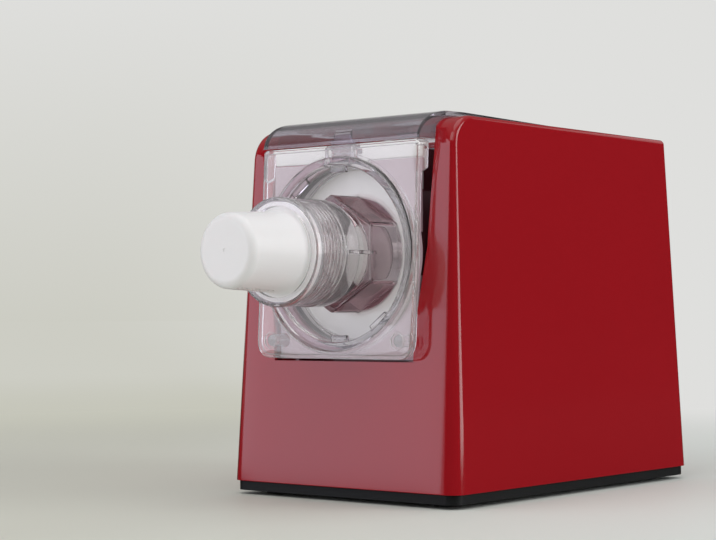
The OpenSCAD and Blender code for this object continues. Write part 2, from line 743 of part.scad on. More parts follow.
module front_cover() framed() color(clear) {
  difference() {
    at_front(cover_proud) linear_extrude(cover_depth) cover_outline(0);
    at_front(cover_proud) translate([0, 0, cover_wall]) linear_extrude(cover_depth) {
      difference() {
        cover_outline(cover_wall);
        translate([0, axis_z / cos(front_lean)]) circle(ring_r - 4);
      }
      translate([-notch_w / 2, cover_top_z - 2 * cover_wall]) square([notch_w, far]);
    }
    at_front(cover_proud) translate([-far, -far, rim_depth])
      linear_extrude(cover_depth) square([2 * far, far + rim_top_z]);
    rod_y(ring_r, ring_y - 20, ring_y);
    rod_y(dish_r + 1, ring_y - 20, ring_y + 40);
  }
  difference() {
    tube_y(ring_r + bead_wall, ring_r, ring_y - 8, ring_y + 8);
    at_front(cover_proud) translate([0, 0, -30]) linear_extrude(30) square(2 * far, center = true);
  }
  tube_y(ring_r, dish_r, ring_y, ring_y + 8);
  tube_y(plug_r, dish_r, ring_y, dish_y);
  difference() {
    union() {
      rod_y(plug_r, dish_y - 2.5, dish_y);
      hex_y(boss_r, boss_y, dish_y);
    }
    hex_y(inner_boss_r, boss_y + 3.5, dish_y + 1);
    rod_y(barrel_r, boss_y - 1, dish_y);
  }
  tube_y(barrel_r + 3, barrel_r, boss_y + 3, dish_y);
  tube_y(neck_root_r, barrel_r, neck_y + thread_len, boss_y + 1);
  tube_y(neck_r, barrel_r, neck_y, neck_y + thread_len);
  for (s = [-1, 1]) {
    rod_y(peg_r, front_y(peg_z) - cover_proud + 1, ring_y + 32, s * peg_x, peg_z);
    tube_y(6.5, 5.5, front_y(peg_z) - cover_proud - 0.6, front_y(peg_z) - cover_proud + 1,
      s * peg_x, peg_z);
    box_between(
      [s > 0 ? 11 : -14.5, lid_front_y + 1, cover_top_z - 15],
      [s > 0 ? 14.5 : -11, drum_front_y - 1, cover_top_z - 1]
    );
  }
  for (a = [127, 307]) bayonet_lug(a, 16);
  for (a = [90, 270]) bayonet_lug(a, 14);
  box_between([neck_root_r - 2, nut_rear_y + 0.8, axis_z - 1.4], [nut_r + 0.6, boss_y + 1, axis_z + 1.4]);
  box_between(
    [inner_boss_r * cos(30), boss_y, axis_z - 1.4], [boss_r * cos(30) + 1.4, boss_y + 5, axis_z + 1.4]
  );
}

module cover_seal() framed() color([0.55, 0.55, 0.57])
  tube_y(drum_r - 0.3, plug_r + 0.02, dish_y - 12, dish_y - 7);

module ring_nut() framed() color(clear) {
  turned_y([
    [nut_mouth_r + 0.8, nut_face_y], [nut_r - 1.2, nut_face_y], [nut_r, nut_face_y + 1.2],
    [nut_r, nut_face_y + 6], [nut_r - 0.7, nut_face_y + 7.5], [nut_r - 0.7, nut_rear_y - 1],
    [nut_r - 1.2, nut_rear_y], [skirt_bore_r, nut_rear_y], [skirt_bore_r, neck_y + thread_len],
    [nut_bore_r, neck_y + thread_len - 1.2], [nut_bore_r, nut_face_y + nut_lip],
    [nut_mouth_r, nut_face_y + nut_lip], [nut_mouth_r, nut_face_y + 0.8]
  ]);
  translate([nut_r, (nut_rear_y - 12 + nut_rear_y - 1) / 2, axis_z]) cube([3, 11, 2.8], center = true);
}

// ---- Die ----

strand_rows = floor((die_reach - 16) / strand_pitch);

module die() framed() color([0.93, 0.92, 0.94])
  difference() {
    turned_y(concat(
      [
        [0, flange_y], [neck_r - 0.4, flange_y], [neck_r - 0.4, flange_y - die_flange],
        [nut_mouth_r - 0.8, flange_y - die_flange]
      ],
      [for (a = [0:15:90]) [
        die_root_r + (nut_mouth_r - 0.8 - die_root_r) * (1 - sin(a)),
        flange_y - die_flange + (nut_face_y - flange_y + die_flange - 1) * (1 - cos(a))
      ]],
      [for (a = [0:15:90]) [
        die_nose_r - die_round + die_round * cos(a), die_face_y + die_round - die_round * sin(a)
      ]],
      [[0, die_face_y]]
    ));
    turned_y([
      [0, flange_y + 1], [die_root_r - die_wall, flange_y + 1], [die_root_r - die_wall, nut_face_y],
      [die_nose_r - die_wall, die_face_y + die_round],
      [die_nose_r - die_wall - 4, die_face_y + die_wall + 0.6], [0, die_face_y + die_wall + 0.6]
    ]);
    for (i = [-1.5:1:1.5], j = [0:strand_rows - 1])
      translate([i * strand_pitch, die_face_y + 9 + j * strand_pitch, axis_z - die_root_r - 2])
        cylinder(r = strand_r, h = die_root_r, $fn = 24);
    rod_y(1.6, die_face_y - 1, die_face_y + 0.5);
  }

module die_seal() framed() color([0.55, 0.55, 0.57])
  tube_y(neck_r - 0.6, barrel_r + 0.5, flange_y + 0.02, neck_y - 0.02);

// ---- Mixing drum and auger ----

// Front flange of the drum: it fills the bay's mouth inside the webs and the cover's rim
module drum_flange()
  translate([0, drum_front_y + drum_wall, 0]) rotate([90, 0, 0]) linear_extrude(drum_wall)
    for (s = [-1, 1]) polygon([for (p = [
      [-1, bay_floor_z + 1.3], [web_x - 2, bay_floor_z + 1.3], [web_x - 2, web_z],
      [flange_x, axis_z - 12], [flange_x, rim_top_z + 7], [-1, rim_top_z + 7]
    ]) [s * p[0], p[1]]]);

flange_x = cover_w / 2 - cover_wall - 2.3;

module mixing_drum() framed() color([0.86, 0.86, 0.88])
  difference() {
    union() {
      rod_y(drum_r + drum_wall, drum_front_y, drum_back_y + drum_wall);
      rod_y(20, drum_back_y, bay_rear_y - seat);
      drum_flange();
      box_between(
        [-throat_w / 2, throat_y[0], axis_z], [throat_w / 2, throat_y[1], throat_top_z]
      );
    }
    rod_y(drum_r, drum_front_y - 1, drum_back_y);
    for (s = [-1, 1]) rod_y(peg_r + 0.8, drum_front_y - 1, drum_front_y + drum_wall + 1, s * peg_x, peg_z);
    box_between(
      [-throat_w / 2 + drum_wall, throat_y[0] + drum_wall, axis_z],
      [throat_w / 2 - drum_wall, throat_y[1] - drum_wall, far]
    );
    rod_y(bush_r, drum_back_y - 1, far);
  }

module shaft_seal() framed() color([0.12, 0.12, 0.13])
  tube_y(bush_r - 0.02, shaft_r + slip, drum_back_y + 0.5, drum_back_y + 8);

module flight(y0, y1, turn)
  translate([0, y0, axis_z]) rotate([-90, 0, 0])
    linear_extrude(y1 - y0, twist = -360 * (y1 - y0) / screw_pitch, slices = ceil((y1 - y0) / 1.4), $fn = 12)
      rotate(turn) polygon(concat(
        [for (a = [0:15:360 * flight_t / screw_pitch]) (barrel_r - 0.6) * [cos(a), sin(a)]],
        [for (a = [360 * flight_t / screw_pitch:-30:0]) (core_r - 1) * [cos(a), sin(a)]]
      ));

module mixing_arm(y, a)
  translate([0, y, axis_z]) rotate([0, a, 0]) {
    rotate([90, 0, 90]) translate([0, 0, core_r - 2]) linear_extrude(arm_r - core_r - 4)
      rounded(arm_w, 7, 3);
    translate([arm_r - 7, 0, 0]) rotate([25, 0, 0])
      linear_extrude(9, center = true) rounded(12, 26, 5);
  }

auger_back_y = drum_back_y - 1;
arm_stations = [0.16, 0.38, 0.60, 0.82];

module auger() framed() color([0.90, 0.90, 0.88])
  difference() {
    union() {
      rod_y(core_r, dish_y - 2, auger_back_y);
      turned_y([
        [0, neck_y + 3], [core_r * 0.5, neck_y + 4.5], [core_r, neck_y + 14],
        [core_r, dish_y - 1], [0, dish_y - 1]
      ]);
      rod_y(core_r + 4, auger_back_y - 18, auger_back_y);
      flight(neck_y + 10, dish_y + 8, 0);
      for (i = [0:3])
        mixing_arm(dish_y + 10 + arm_stations[i] * (auger_back_y - dish_y - 20), 90 * i);
    }
    hex_y(shaft_r * 0.9, auger_back_y - 22, auger_back_y + 1);
  }

module drive_shaft() framed() color(steel) {
  hex_y(shaft_r * 0.9 - 0.1, auger_back_y - 21, auger_back_y + 2);
  rod_y(shaft_r, auger_back_y + 1, lid_box_y);
}

// ---- Gear train ----

// Involute gear outline with n steps on each flank
function inv(a) = tan(a) * 180 / PI - a;
pressure = 25;
flank_steps = 3;

module gear_outline(teeth, m) {
  rp = pitch_r(teeth, m);
  rb = rp * cos(pressure);
  ra = rp + 0.95 * m;
  rr = rp - 1.2 * m;
  r0 = max(rb, rr);
  half_p = 90 / teeth - backlash / 4 / rp * 180 / PI + inv(pressure);
  function half(r) = half_p - inv(acos(min(1, rb / r)));
  flank = [for (i = [0:flank_steps]) let (r = r0 + (ra - r0) * i / flank_steps) [r, half(r)]];
  side = rr < rb ? concat([[rr, half(r0)]], flank) : flank;
  n = len(side);
  polygon([
    for (t = [0:teeth - 1], k = [0:2 * n - 1])
      let (p = k < n ? side[k] : side[2 * n - 1 - k], a = 360 * t / teeth + (k < n ? -p[1] : p[1]))
        p[0] * [cos(a), sin(a)]
  ]);
}

// A gear about an axis along Y at height z: a tooth, or a gap between teeth,
// points straight up or straight down, where its mate is
module gear_y(teeth, m, y, w, z, up, gap)
  translate([0, y, z]) rotate([-90, 0, 0])
    linear_extrude(w) rotate((up ? -90 : 90) + (gap ? 180 / teeth : 0)) gear_outline(teeth, m);

module wheel(teeth, m, y, w, z, hub, gap) { // moulded wheel: web between rim and hub
  web = 4;
  difference() {
    gear_y(teeth, m, y, w, z, false, gap);
    for (y0 = [y - 1, y + (w + web) / 2])
      tube_y(pitch_r(teeth, m) - 4 * m, hub, y0, y0 + (w - web) / 2 + 1, 0, z);
  }
}

module output_gear() framed() color([0.88, 0.87, 0.80])
  difference() {
    wheel(slow_teeth, slow_mod, slow_y, slow_w, axis_z, shaft_r + 6, false);
    rod_y(shaft_r + 0.01, slow_y - 1, slow_y + slow_w + 1);
  }

module output_bushes() framed() color([0.72, 0.52, 0.30]) {
  tube_y(bush_r - 0.02, shaft_r + slip, box_y - 1.5, slow_y - 0.5);
  tube_y(bush_r - 0.02, shaft_r + slip, bush_y, lid_box_y - seat);
}

module second_gear() framed() color([0.88, 0.87, 0.80])
  difference() {
    union() {
      gear_y(pinion_teeth, slow_mod, slow_y, slow_w + layer_gap + 0.5, second_z, true, true);
      wheel(middle_teeth, middle_mod, middle_y, middle_w, second_z, axle_r + 5, true);
    }
    rod_y(axle_r + slip, slow_y - 1, far, 0, second_z);
  }

module first_gear() framed() color([0.88, 0.87, 0.80])
  difference() {
    union() {
      gear_y(pinion_teeth, middle_mod, middle_y, middle_w + layer_gap + 0.5, first_z, true, false);
      wheel(fast_teeth, fast_mod, fast_y, fast_w, first_z, axle_r + 5, true);
    }
    rod_y(axle_r + slip, middle_y - 1, far, 0, first_z);
  }

module gear_axles() framed() color(steel) {
  rod_y(axle_r, box_y + 1, lid_box_y - 1, 0, second_z);
  rod_y(axle_r, box_y + 1, lid_box_y - 1, 0, first_z);
}

// Outline of the gearbox in X and height: round the output wheel and the motor's flange
module box_outline(g) {
  r_top = pitch_r(wheel_teeth[0], gear_mod[0]) + 9 - g;
  r_low = 34 - g;
  translate([0, axis_z]) circle(r_top);
  translate([0, motor_z + 6]) circle(r_low);
  translate([-r_low, motor_z + 6]) square([2 * r_low, axis_z - motor_z - 6]);
}

module box_slab(g, y0, y1)
  translate([0, y1, 0]) rotate([90, 0, 0]) linear_extrude(y1 - y0) box_outline(g);

box_screws = [
  for (s = [-1, 1], z = [motor_z - 4, second_z - 8, axis_z + 26]) [s * (z > axis_z ? 30 : 33.5), z]
];

module gear_housing() framed() color([0.20, 0.20, 0.22])
  difference() {
    union() {
      difference() {
        box_slab(0, box_y, box_end_y);
        box_slab(3, box_y + box_wall, box_end_y + 1);
      }
      rod_y(axle_r + 4, box_y + 1, slow_y - 0.4, 0, second_z);
      rod_y(axle_r + 4, box_y + 1, middle_y - 0.4, 0, first_z);
      rod_y(bush_r + 3, box_y, slow_y - 0.8);
      for (p = box_screws) rod_y(4, box_y + 1, box_end_y, p[0], p[1]);
    }
    rod_y(bush_r, box_y - 1, slow_y);
    for (z = [second_z, first_z]) rod_y(axle_r + 0.02, box_y + 1, far, 0, z);
    for (p = box_screws) rod_y(1.5, box_end_y - 12, far, p[0], p[1]);
  }

module gear_cover() framed() color([0.20, 0.20, 0.22])
  difference() {
    union() {
      box_slab(0, box_end_y + 0.02, lid_box_y);
      for (p = box_screws) rod_y(5, box_end_y + 0.02, lid_box_y, p[0], p[1]);
      rod_y(bush_r + 3, bush_y, box_end_y + 1);
      rod_y(axle_r + 3, box_end_y - 8, box_end_y + 1, 0, second_z);
    }
    rod_y(bush_r, box_end_y - 20, far);
    for (z = [second_z, first_z]) rod_y(axle_r + 0.02, box_end_y - 20, lid_box_y - 1, 0, z);
    rod_y(motor_shaft_r + 5, box_end_y - 20, far, 0, motor_z);
    for (p = box_screws) {
      rod_y(1.8, box_end_y - 20, far, p[0], p[1]);
      rod_y(3.2, lid_box_y - head_depth, far, p[0], p[1]);
    }
  }

module gear_screws() framed() color(steel)
  for (p = box_screws)
    translate([p[0], lid_box_y - head_depth + 0.02, p[1]]) rotate([-90, 0, 0]) screw(1.45, 13.9);

head_depth = 1.9; // counterbore that takes the heads of the gearbox screws

// ---- Motor ----

module stack_outline(w)
  intersection() {
    square(w, center = true);
    rotate(45) square(w * 1.22, center = true);
  }

module stack_y(w, y0, y1)
  translate([0, y1, motor_z]) rotate([90, 0, 0]) linear_extrude(y1 - y0) stack_outline(w);

module stator() framed() color([0.45, 0.45, 0.47])
  difference() {
    stack_y(stator_w, stator_y, stator_y + stator_len);
    rod_y(rotor_r + 0.6, stator_y - 1, stator_y + stator_len + 1, 0, motor_z);
    bolt_holes(stator_y - 1);
  }

module windings() framed() color([0.70, 0.38, 0.18])
  for (y = [stator_y - 7, stator_y + stator_len + 0.05])
    tube_y(rotor_r + 10, rotor_r + 2, y, y + 6.95, 0, motor_z);

module bell(y0, depth, dir) { // cup-shaped end shield with a bearing seat, open towards the stack
  y_in = dir > 0 ? y0 : y0 - depth;
  difference() {
    stack_y(stator_w - 4, y_in, y_in + depth);
    rod_y(rotor_r + 12, dir > 0 ? y0 + 3 : y_in - 1, dir > 0 ? y_in + depth + 1 : y0 - 3, 0, motor_z);
    rod_y(motor_shaft_r + 4, y_in - 1, y_in + depth + 1, 0, motor_z);
    bolt_holes(dir > 0 ? y0 + 4 : y_in - 1);
  }
}

bolt_r = 1.9;
bolt_at = stator_w / 2 - 9;

module bolt_holes(y0)
  for (x = [-1, 1], z = [-1, 1])
    rod_y(bolt_r + 0.05, y0, y0 + stator_len + 20, x * bolt_at, motor_z + z * bolt_at);

module motor_bolts() framed() color(steel)
  for (x = [-1, 1], z = [-1, 1])
    translate([x * bolt_at, stator_y + stator_len + 12.02, motor_z + z * bolt_at])
      rotate([-90, 0, 0]) screw(bolt_r, stator_len + 20);

module motor_front_bell() framed() color([0.70, 0.71, 0.73])
  bell(lid_box_y + 0.02, 12.96, 1);

module motor_rear_bell() framed() color([0.70, 0.71, 0.73])
  bell(stator_y + stator_len + 12, 11.98, -1);

module motor_bearings() framed() color([0.72, 0.52, 0.30]) {
  tube_y(motor_shaft_r + 3.98, motor_shaft_r + slip, lid_box_y + 0.1, lid_box_y + 4, 0, motor_z);
  tube_y(motor_shaft_r + 3.98, motor_shaft_r + slip, stator_y + stator_len + 8,
    stator_y + stator_len + 11.9, 0, motor_z);
}

module rotor() framed() color([0.50, 0.50, 0.52]) {
  rod_y(rotor_r, stator_y + 1, stator_y + stator_len - 1, 0, motor_z);
  rod_y(motor_shaft_r, fast_y - 1, fan_y + 12, 0, motor_z);
  for (y = [stator_y - 3, stator_y + stator_len - 1.5])
    tube_y(rotor_r - 2, motor_shaft_r, y, y + 4.5, 0, motor_z);
}

module motor_pinion() framed() color([0.72, 0.52, 0.30])
  difference() {
    gear_y(pinion_teeth, fast_mod, fast_y, fast_w + 1, motor_z, true, false);
    rod_y(motor_shaft_r + 0.01, fast_y - 1, far, 0, motor_z);
  }

module cooling_fan() framed() color([0.15, 0.15, 0.16]) {
  tube_y(motor_shaft_r + 6, motor_shaft_r, fan_y, fan_y + 11, 0, motor_z);
  tube_y(fan_r, motor_shaft_r + 5, fan_y, fan_y + 1.6, 0, motor_z);
  for (i = [0:8])
    translate([0, fan_y + 1, motor_z]) rotate([0, 40 * i, 0])
      rotate([-90, 0, 0]) linear_extrude(9) translate([motor_shaft_r + 5, -0.9])
        rotate(8) square([fan_r - motor_shaft_r - 7, 1.8]);
}

module motor_cradle() framed() color(steel) {
  low = shell_bottom + 4.02;
  seat_z = motor_z - stator_w / 2;
  for (s = [-1, 1]) {
    box_between(
      [s > 0 ? stator_w / 2 - 14 : -stator_w / 2 - 17, stator_y, low],
      [s > 0 ? stator_w / 2 + 17 : -stator_w / 2 + 14, stator_y + stator_len, low + 2]
    );
    box_between(
      [s > 0 ? stator_w / 2 - 14 : -stator_w / 2 + 12, stator_y, low],
      [s > 0 ? stator_w / 2 - 12 : -stator_w / 2 + 14, stator_y + stator_len, seat_z - 0.02]
    );
  }
}

module cradle_pads() framed() color([0.08, 0.08, 0.08])
  for (p = cradle_points) translate([p[0], p[1], shell_bottom + 2.02]) cylinder(r = 6, h = 1.98);

body_shell();
rear_cover();
base_plate();
feet();
base_screws();
rear_screws();
control_panel();
power_button();
start_button();
mix_button();
press_button();
light_pipes();
control_board();
key_switches();
board_screws();
power_board();
transformer();
capacitor();
terminal_block();
cord_gland();
lid();
hinge_pins();
lid_magnet();
lid_switch();
front_cover();
cover_seal();
ring_nut();
die();
die_seal();
mixing_drum();
shaft_seal();
auger();
drive_shaft();
output_gear();
output_bushes();
second_gear();
first_gear();
gear_axles();
gear_housing();
gear_cover();
gear_screws();
motor_front_bell();
motor_rear_bell();
stator();
windings();
rotor();
motor_pinion();
motor_bearings();
motor_bolts();
cooling_fan();
motor_cradle();
cradle_pads();
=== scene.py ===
import math

import bmesh
import bpy
import numpy as np
from mathutils import Matrix, Vector


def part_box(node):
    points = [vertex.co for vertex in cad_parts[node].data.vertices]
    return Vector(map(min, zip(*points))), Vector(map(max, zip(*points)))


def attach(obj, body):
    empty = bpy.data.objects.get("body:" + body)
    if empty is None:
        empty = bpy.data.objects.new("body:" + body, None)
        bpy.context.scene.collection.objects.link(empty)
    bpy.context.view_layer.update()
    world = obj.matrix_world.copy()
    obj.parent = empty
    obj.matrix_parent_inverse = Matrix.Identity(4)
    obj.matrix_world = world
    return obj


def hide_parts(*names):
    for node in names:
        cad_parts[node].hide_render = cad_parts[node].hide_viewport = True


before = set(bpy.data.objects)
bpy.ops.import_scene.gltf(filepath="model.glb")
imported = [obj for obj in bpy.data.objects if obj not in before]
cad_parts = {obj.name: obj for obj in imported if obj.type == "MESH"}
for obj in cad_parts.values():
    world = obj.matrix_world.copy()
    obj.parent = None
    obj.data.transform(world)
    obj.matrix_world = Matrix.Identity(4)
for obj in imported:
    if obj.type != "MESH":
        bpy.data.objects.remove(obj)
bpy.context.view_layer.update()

# ---- Housing ----
# One large injection moulding in deep red ABS, high gloss. Its walls lean inwards and its
# corners grow rounder towards the foot. It stands on the base plate and is screwed from below.


class Wire:
    """A value on its way to a shader socket. Between wires and numbers, + - and * add Math
    nodes; node() adds any other node, its settings first, then its sockets' values or links."""

    def __init__(self, tree, socket=None):
        self.tree, self.socket = tree, socket

    def node(self, kind, settings=None, inputs=None, out=0):
        made = self.tree.nodes.new(kind)
        for key, value in (settings or {}).items():
            setattr(made, key, value)
        for key, value in (inputs or {}).items():
            if isinstance(value, Wire):
                self.tree.links.new(value.socket, made.inputs[key])
            else:
                made.inputs[key].default_value = value
        return Wire(self.tree, made.outputs[out] if len(made.outputs) else None)

    def math(self, operation, *others):
        values = dict(enumerate((self, *others)))
        return self.node("ShaderNodeMath", {"operation": operation}, values)

    def __add__(self, other):
        return self.math("ADD", other)

    def __mul__(self, other):
        return self.math("MULTIPLY", other)

    def __sub__(self, other):
        return self.math("SUBTRACT", other)

    def __rsub__(self, other):
        return self.math("MULTIPLY", -1.0) + other

    __radd__, __rmul__ = __add__, __mul__

    def axis(self, letter):
        """The X, Y or Z of this vector."""
        return self.node("ShaderNodeSeparateXYZ", {}, {0: self}, out=letter)

    def length(self):
        return self.node("ShaderNodeVectorMath", {"operation": "LENGTH"}, {0: self}, out=1)

    def noise(self, scale, detail=2.0):
        """Noise from 0 to 1 read at this position."""
        return self.node("ShaderNodeTexNoise", {}, {"Vector": self, "Scale": scale, "Detail": detail})

    def blend(self, low, high):
        """Colour that goes from low to high as this value goes from 0 to 1."""
        return self.node("ShaderNodeMix", {"data_type": "RGBA"}, {0: self, 6: low, 7: high}, out=2)

    def bump(self, strength, distance, **more):
        """The normal of a surface raised by this height times `distance` metres."""
        values = {"Strength": strength, "Distance": distance, "Height": self, **more}
        return self.node("ShaderNodeBump", {}, values)


def open_material(name):
    """A new material and the wire of its object coordinates."""
    material = bpy.data.materials.new(name)
    material.use_nodes = True
    material.node_tree.nodes.clear()
    return material, Wire(material.node_tree).node("ShaderNodeTexCoord", out="Object")


def close_material(place, **sockets):
    """Puts the Principled shader at the end, with sockets named in words_joined_like_this."""
    named = {key.replace("_", " "): value for key, value in sockets.items()}
    shader = place.node("ShaderNodeBsdfPrincipled", {}, named)
    place.node("ShaderNodeOutputMaterial", {}, {"Surface": shader})


def shade(colour, by):
    """The colour times by, with alpha 1."""
    return (colour[0] * by, colour[1] * by, colour[2] * by, 1.0)


def moulded_plastic(
    name, colour, rough, drift=0.05, grain=0.0, grain_scale=1400.0, crown=None, **fixed
):
    """Plastic: the colour drifts a little over the piece, roughness is uneven as handled
    surfaces are, and grain is the height in metres of the tool's spark-eroded texture. A crown
    (start, radius) rounds faces off sideways: the height falls by (|x| - start) squared over
    twice the radius."""
    material, place = open_material(name)
    drifted = place.noise(9.0, 3.0).blend(shade(colour, 1 - drift), shade(colour, 1 + drift))
    handled = place.noise(38.0, 4.0) * (0.35 * rough) + 0.82 * rough
    if grain:
        height = place.noise(grain_scale, 2.0) + place.noise(grain_scale * 0.31, 1.0) * 0.6
        under = {}
        if crown:
            start, radius = crown
            over = (place.axis("X").math("ABSOLUTE") - start).math("MAXIMUM", 0.0)
            under["Normal"] = (over * over * (-0.5 / radius)).bump(1.0, 1.0)
        fixed["Normal"] = height.bump(0.6, grain, **under)
    close_material(place, Base_Color=drifted, Roughness=handled, **fixed)
    return material


def moulded_copy(node, name, body, sharp=32.0, edge=0.0):
    """The node's solid as one welded surface: doubles merged, flat triangles joined to panels,
    normals smooth across edges under `sharp` degrees, and other edges rounded by `edge`."""
    mesh = bpy.data.meshes.new(name)
    bm = bmesh.new()
    bm.from_mesh(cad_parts[node].data)
    bmesh.ops.remove_doubles(bm, verts=bm.verts, dist=2e-6)
    bmesh.ops.dissolve_limit(bm, angle_limit=math.radians(0.4), verts=bm.verts, edges=bm.edges)
    bmesh.ops.recalc_face_normals(bm, faces=bm.faces)
    bm.to_mesh(mesh)
    bm.free()
    mesh.polygons.foreach_set("use_smooth", np.ones(len(mesh.polygons), bool))
    mesh.set_sharp_from_angle(angle=math.radians(sharp))
    piece = bpy.data.objects.new(name, mesh)
    bpy.context.scene.collection.objects.link(piece)
    if edge:
        rounding = piece.modifiers.new("edges", "BEVEL")
        rounding.limit_method, rounding.angle_limit = "ANGLE", math.radians(40)
        rounding.width, rounding.segments = edge, 2
        rounding.use_clamp_overlap = True
    weights = piece.modifiers.new("normals", "WEIGHTED_NORMAL")
    weights.keep_sharp, weights.weight = True, 60
    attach(piece, body)
    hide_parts(node)
    return piece


SHELL_RED = (0.322, 0.0068, 0.0122)
FRONT_CROWN = (0.079, 0.21)  # start and radius, in metres
red_gloss = moulded_plastic(
    "red_gloss", SHELL_RED, 0.085, drift=0.03, grain=4e-6, grain_scale=420.0, crown=FRONT_CROWN,
    Coat_Weight=0.25, Coat_Roughness=0.03, Specular_IOR_Level=0.5,
)
housing = moulded_copy("body_shell", "housing_moulding", "housing", edge=0.0007)
housing.data.materials.append(red_gloss)

# ---- Rear cover ----
# A flat red moulding let into the rear wall, with air louvres. Its screws turn into bosses of
# the housing.

rear = moulded_copy("rear_cover", "rear_cover_moulding", "housing", edge=0.0005)
rear.data.materials.append(red_gloss)


def metal(name, colour, rough, stretch=(1.0, 1.0, 1.0), scale=700.0):
    """Metal: fine marks run along the axis along which stretch is small."""
    material, place = open_material(name)
    along_marks = place.node("ShaderNodeMapping", {}, {"Vector": place, "Scale": stretch})
    marks = along_marks.noise(scale, 3.0)
    tone = marks.blend(shade(colour, 0.88), shade(colour, 1.08))
    close_material(place, Base_Color=tone, Roughness=marks * (0.25 * rough) + rough, Metallic=1.0)
    return material


zinc = metal("zinc_plate", (0.58, 0.60, 0.62), 0.32)


def dress(material, *nodes):
    """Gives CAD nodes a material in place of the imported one."""
    for node in nodes:
        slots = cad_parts[node].data.materials
        slots.clear()
        slots.append(material)


dress(zinc, "rear_screws", "base_screws", "board_screws", "gear_screws", "motor_bolts", "motor_cradle")

# ---- Base plate and feet ----
# A black ribbed plate of matt polypropylene closes the housing below. Four rubber feet are
# glued into its round seats.

base_black = moulded_plastic(
    "base_black", (0.010, 0.011, 0.0115), 0.46, drift=0.12, grain=2.2e-5, Specular_IOR_Level=0.3
)
base = moulded_copy("base_plate", "base_moulding", "housing", edge=0.0005)
base.data.materials.append(base_black)
foot_rubber = moulded_plastic(
    "foot_rubber", (0.024, 0.024, 0.024), 0.78, drift=0.2, grain=3e-5, grain_scale=900.0
)
dress(foot_rubber, "feet")
dress(base_black, "cord_gland")

# ---- Control panel ----
# A gloss black plate let into the top behind the lid carries four sprung buttons, each with a
# light. The power button is larger, and red.

panel_black = moulded_plastic(
    "panel_black", (0.012, 0.012, 0.013), 0.10, drift=0.1, Coat_Weight=0.4
)
panel = moulded_copy("control_panel", "panel_moulding", "housing", edge=0.0003)
panel.data.materials.append(panel_black)
key_red = moulded_plastic("key_red", (0.52, 0.022, 0.020), 0.26, drift=0.04, grain=6e-6)
key_grey = moulded_plastic("key_grey", (0.52, 0.52, 0.53), 0.30, drift=0.04, grain=6e-6)
for key in ("power", "start", "mix", "press"):
    slot, finish = ("key_red", key_red) if key == "power" else ("key_grey", key_grey)
    button = moulded_copy(f"{key}_button", f"{key}_key", f"{key}_button", sharp=25.0)
    button.data.materials.append(finish)
light_guide = moulded_plastic(
    "light_guide", (0.80, 0.84, 0.86), 0.18, Transmission_Weight=0.6, IOR=1.5,
    Emission_Color=(0.5, 0.8, 0.6, 1.0), Emission_Strength=0.25,
)
dress(light_guide, "light_pipes")

# ---- Boards and mains parts ----
# Inside, out of sight: a small board under the panel, the power board on posts of the base
# plate with its transformer and capacitor, the terminal block and the lid's switch.

board_green = moulded_plastic(
    "board_green", (0.012, 0.105, 0.045), 0.34, drift=0.15, grain=1e-5, grain_scale=2600.0
)
part_dark = moulded_plastic("part_dark", (0.035, 0.035, 0.04), 0.42, drift=0.1)
part_pale = moulded_plastic("part_pale", (0.62, 0.61, 0.56), 0.45, drift=0.06)
dress(board_green, "control_board", "power_board")
dress(part_dark, "key_switches", "transformer", "lid_switch", "cooling_fan")
dress(part_pale, "capacitor", "terminal_block")

# ---- Mixing drum and auger ----
# The drum is a pale polypropylene tub that slides into the bay, open upwards under the lid. Its
# thin flange is painted pinkish and darker: a painted reflection of the housing's red. Its
# outside is painted dark: painted shade, so that it hardly shows in the gap beside the cover.
# The auger is one white moulding with a helical flight and four mixing arms.

MM = 0.001
AXIS_Z = 0.185  # height of the axis of drum, auger, cover, nut and die
DRUM_MOUTH_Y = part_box("mixing_drum")[0].y
# Painted reflection: the flange's front few millimetres are coloured pinkish and darker, for the
# housing's red mirrored on them.
FLANGE_PAINTED_RED, TUB_PALE = (0.46, 0.33, 0.38, 1.0), (0.87, 0.86, 0.87)
FLANGE_BACK, PAINTED_RED_END = 3 * MM, 5 * MM  # behind the mouth

drum_pale, place = open_material("drum_pale")
behind_flange = place.axis("Y") - (DRUM_MOUTH_Y + FLANGE_BACK)
on_flange = (1.0 - behind_flange * (1 / (PAINTED_RED_END - FLANGE_BACK))).math("MINIMUM", 1.0)
cloudy = place.noise(14.0, 3.0).blend(shade(TUB_PALE, 0.98), shade(TUB_PALE, 1.02))
close_material(
    place, Base_Color=on_flange.math("MAXIMUM", 0.0).blend(cloudy, FLANGE_PAINTED_RED),
    Roughness=place.noise(38.0, 4.0) * 0.1 + 0.25,
    Normal=place.noise(1400.0, 2.0).bump(0.6, 5e-6),
)
# Painted shade: the tub's outside behind the flange is coloured dark, because the bay there lies in
# shade.
drum_painted_shade = moulded_plastic(
    "drum_painted_shade", (0.055, 0.014, 0.020), 0.42, drift=0.1, grain=1e-5
)


def outside_of_drum(mesh):
    """For each face, whether it gets the painted shade of the tub's outside behind the flange: it
    looks away from the axis beyond the tub's inner radius, or forwards from a web, or back from the
    flange."""
    centre, facing = np.empty(len(mesh.polygons) * 3), np.empty(len(mesh.polygons) * 3)
    mesh.polygons.foreach_get("center", centre)
    mesh.polygons.foreach_get("normal", facing)
    x, y, z = centre.reshape(-1, 3).T
    to_x, to_y, to_z = facing.reshape(-1, 3).T
    radius = np.hypot(x, z - AXIS_Z)
    outward = (x * to_x + (z - AXIS_Z) * to_z) / radius
    round_the_tub = (outward > 0.5) & (radius > 71.5 * MM)
    on_webs = (to_y < -0.7) & (radius > 72.2 * MM)
    flange_rear = (to_y > 0.7) & (y < 0)
    return (round_the_tub | on_webs | flange_rear) & (y > DRUM_MOUTH_Y + 2.7 * MM)


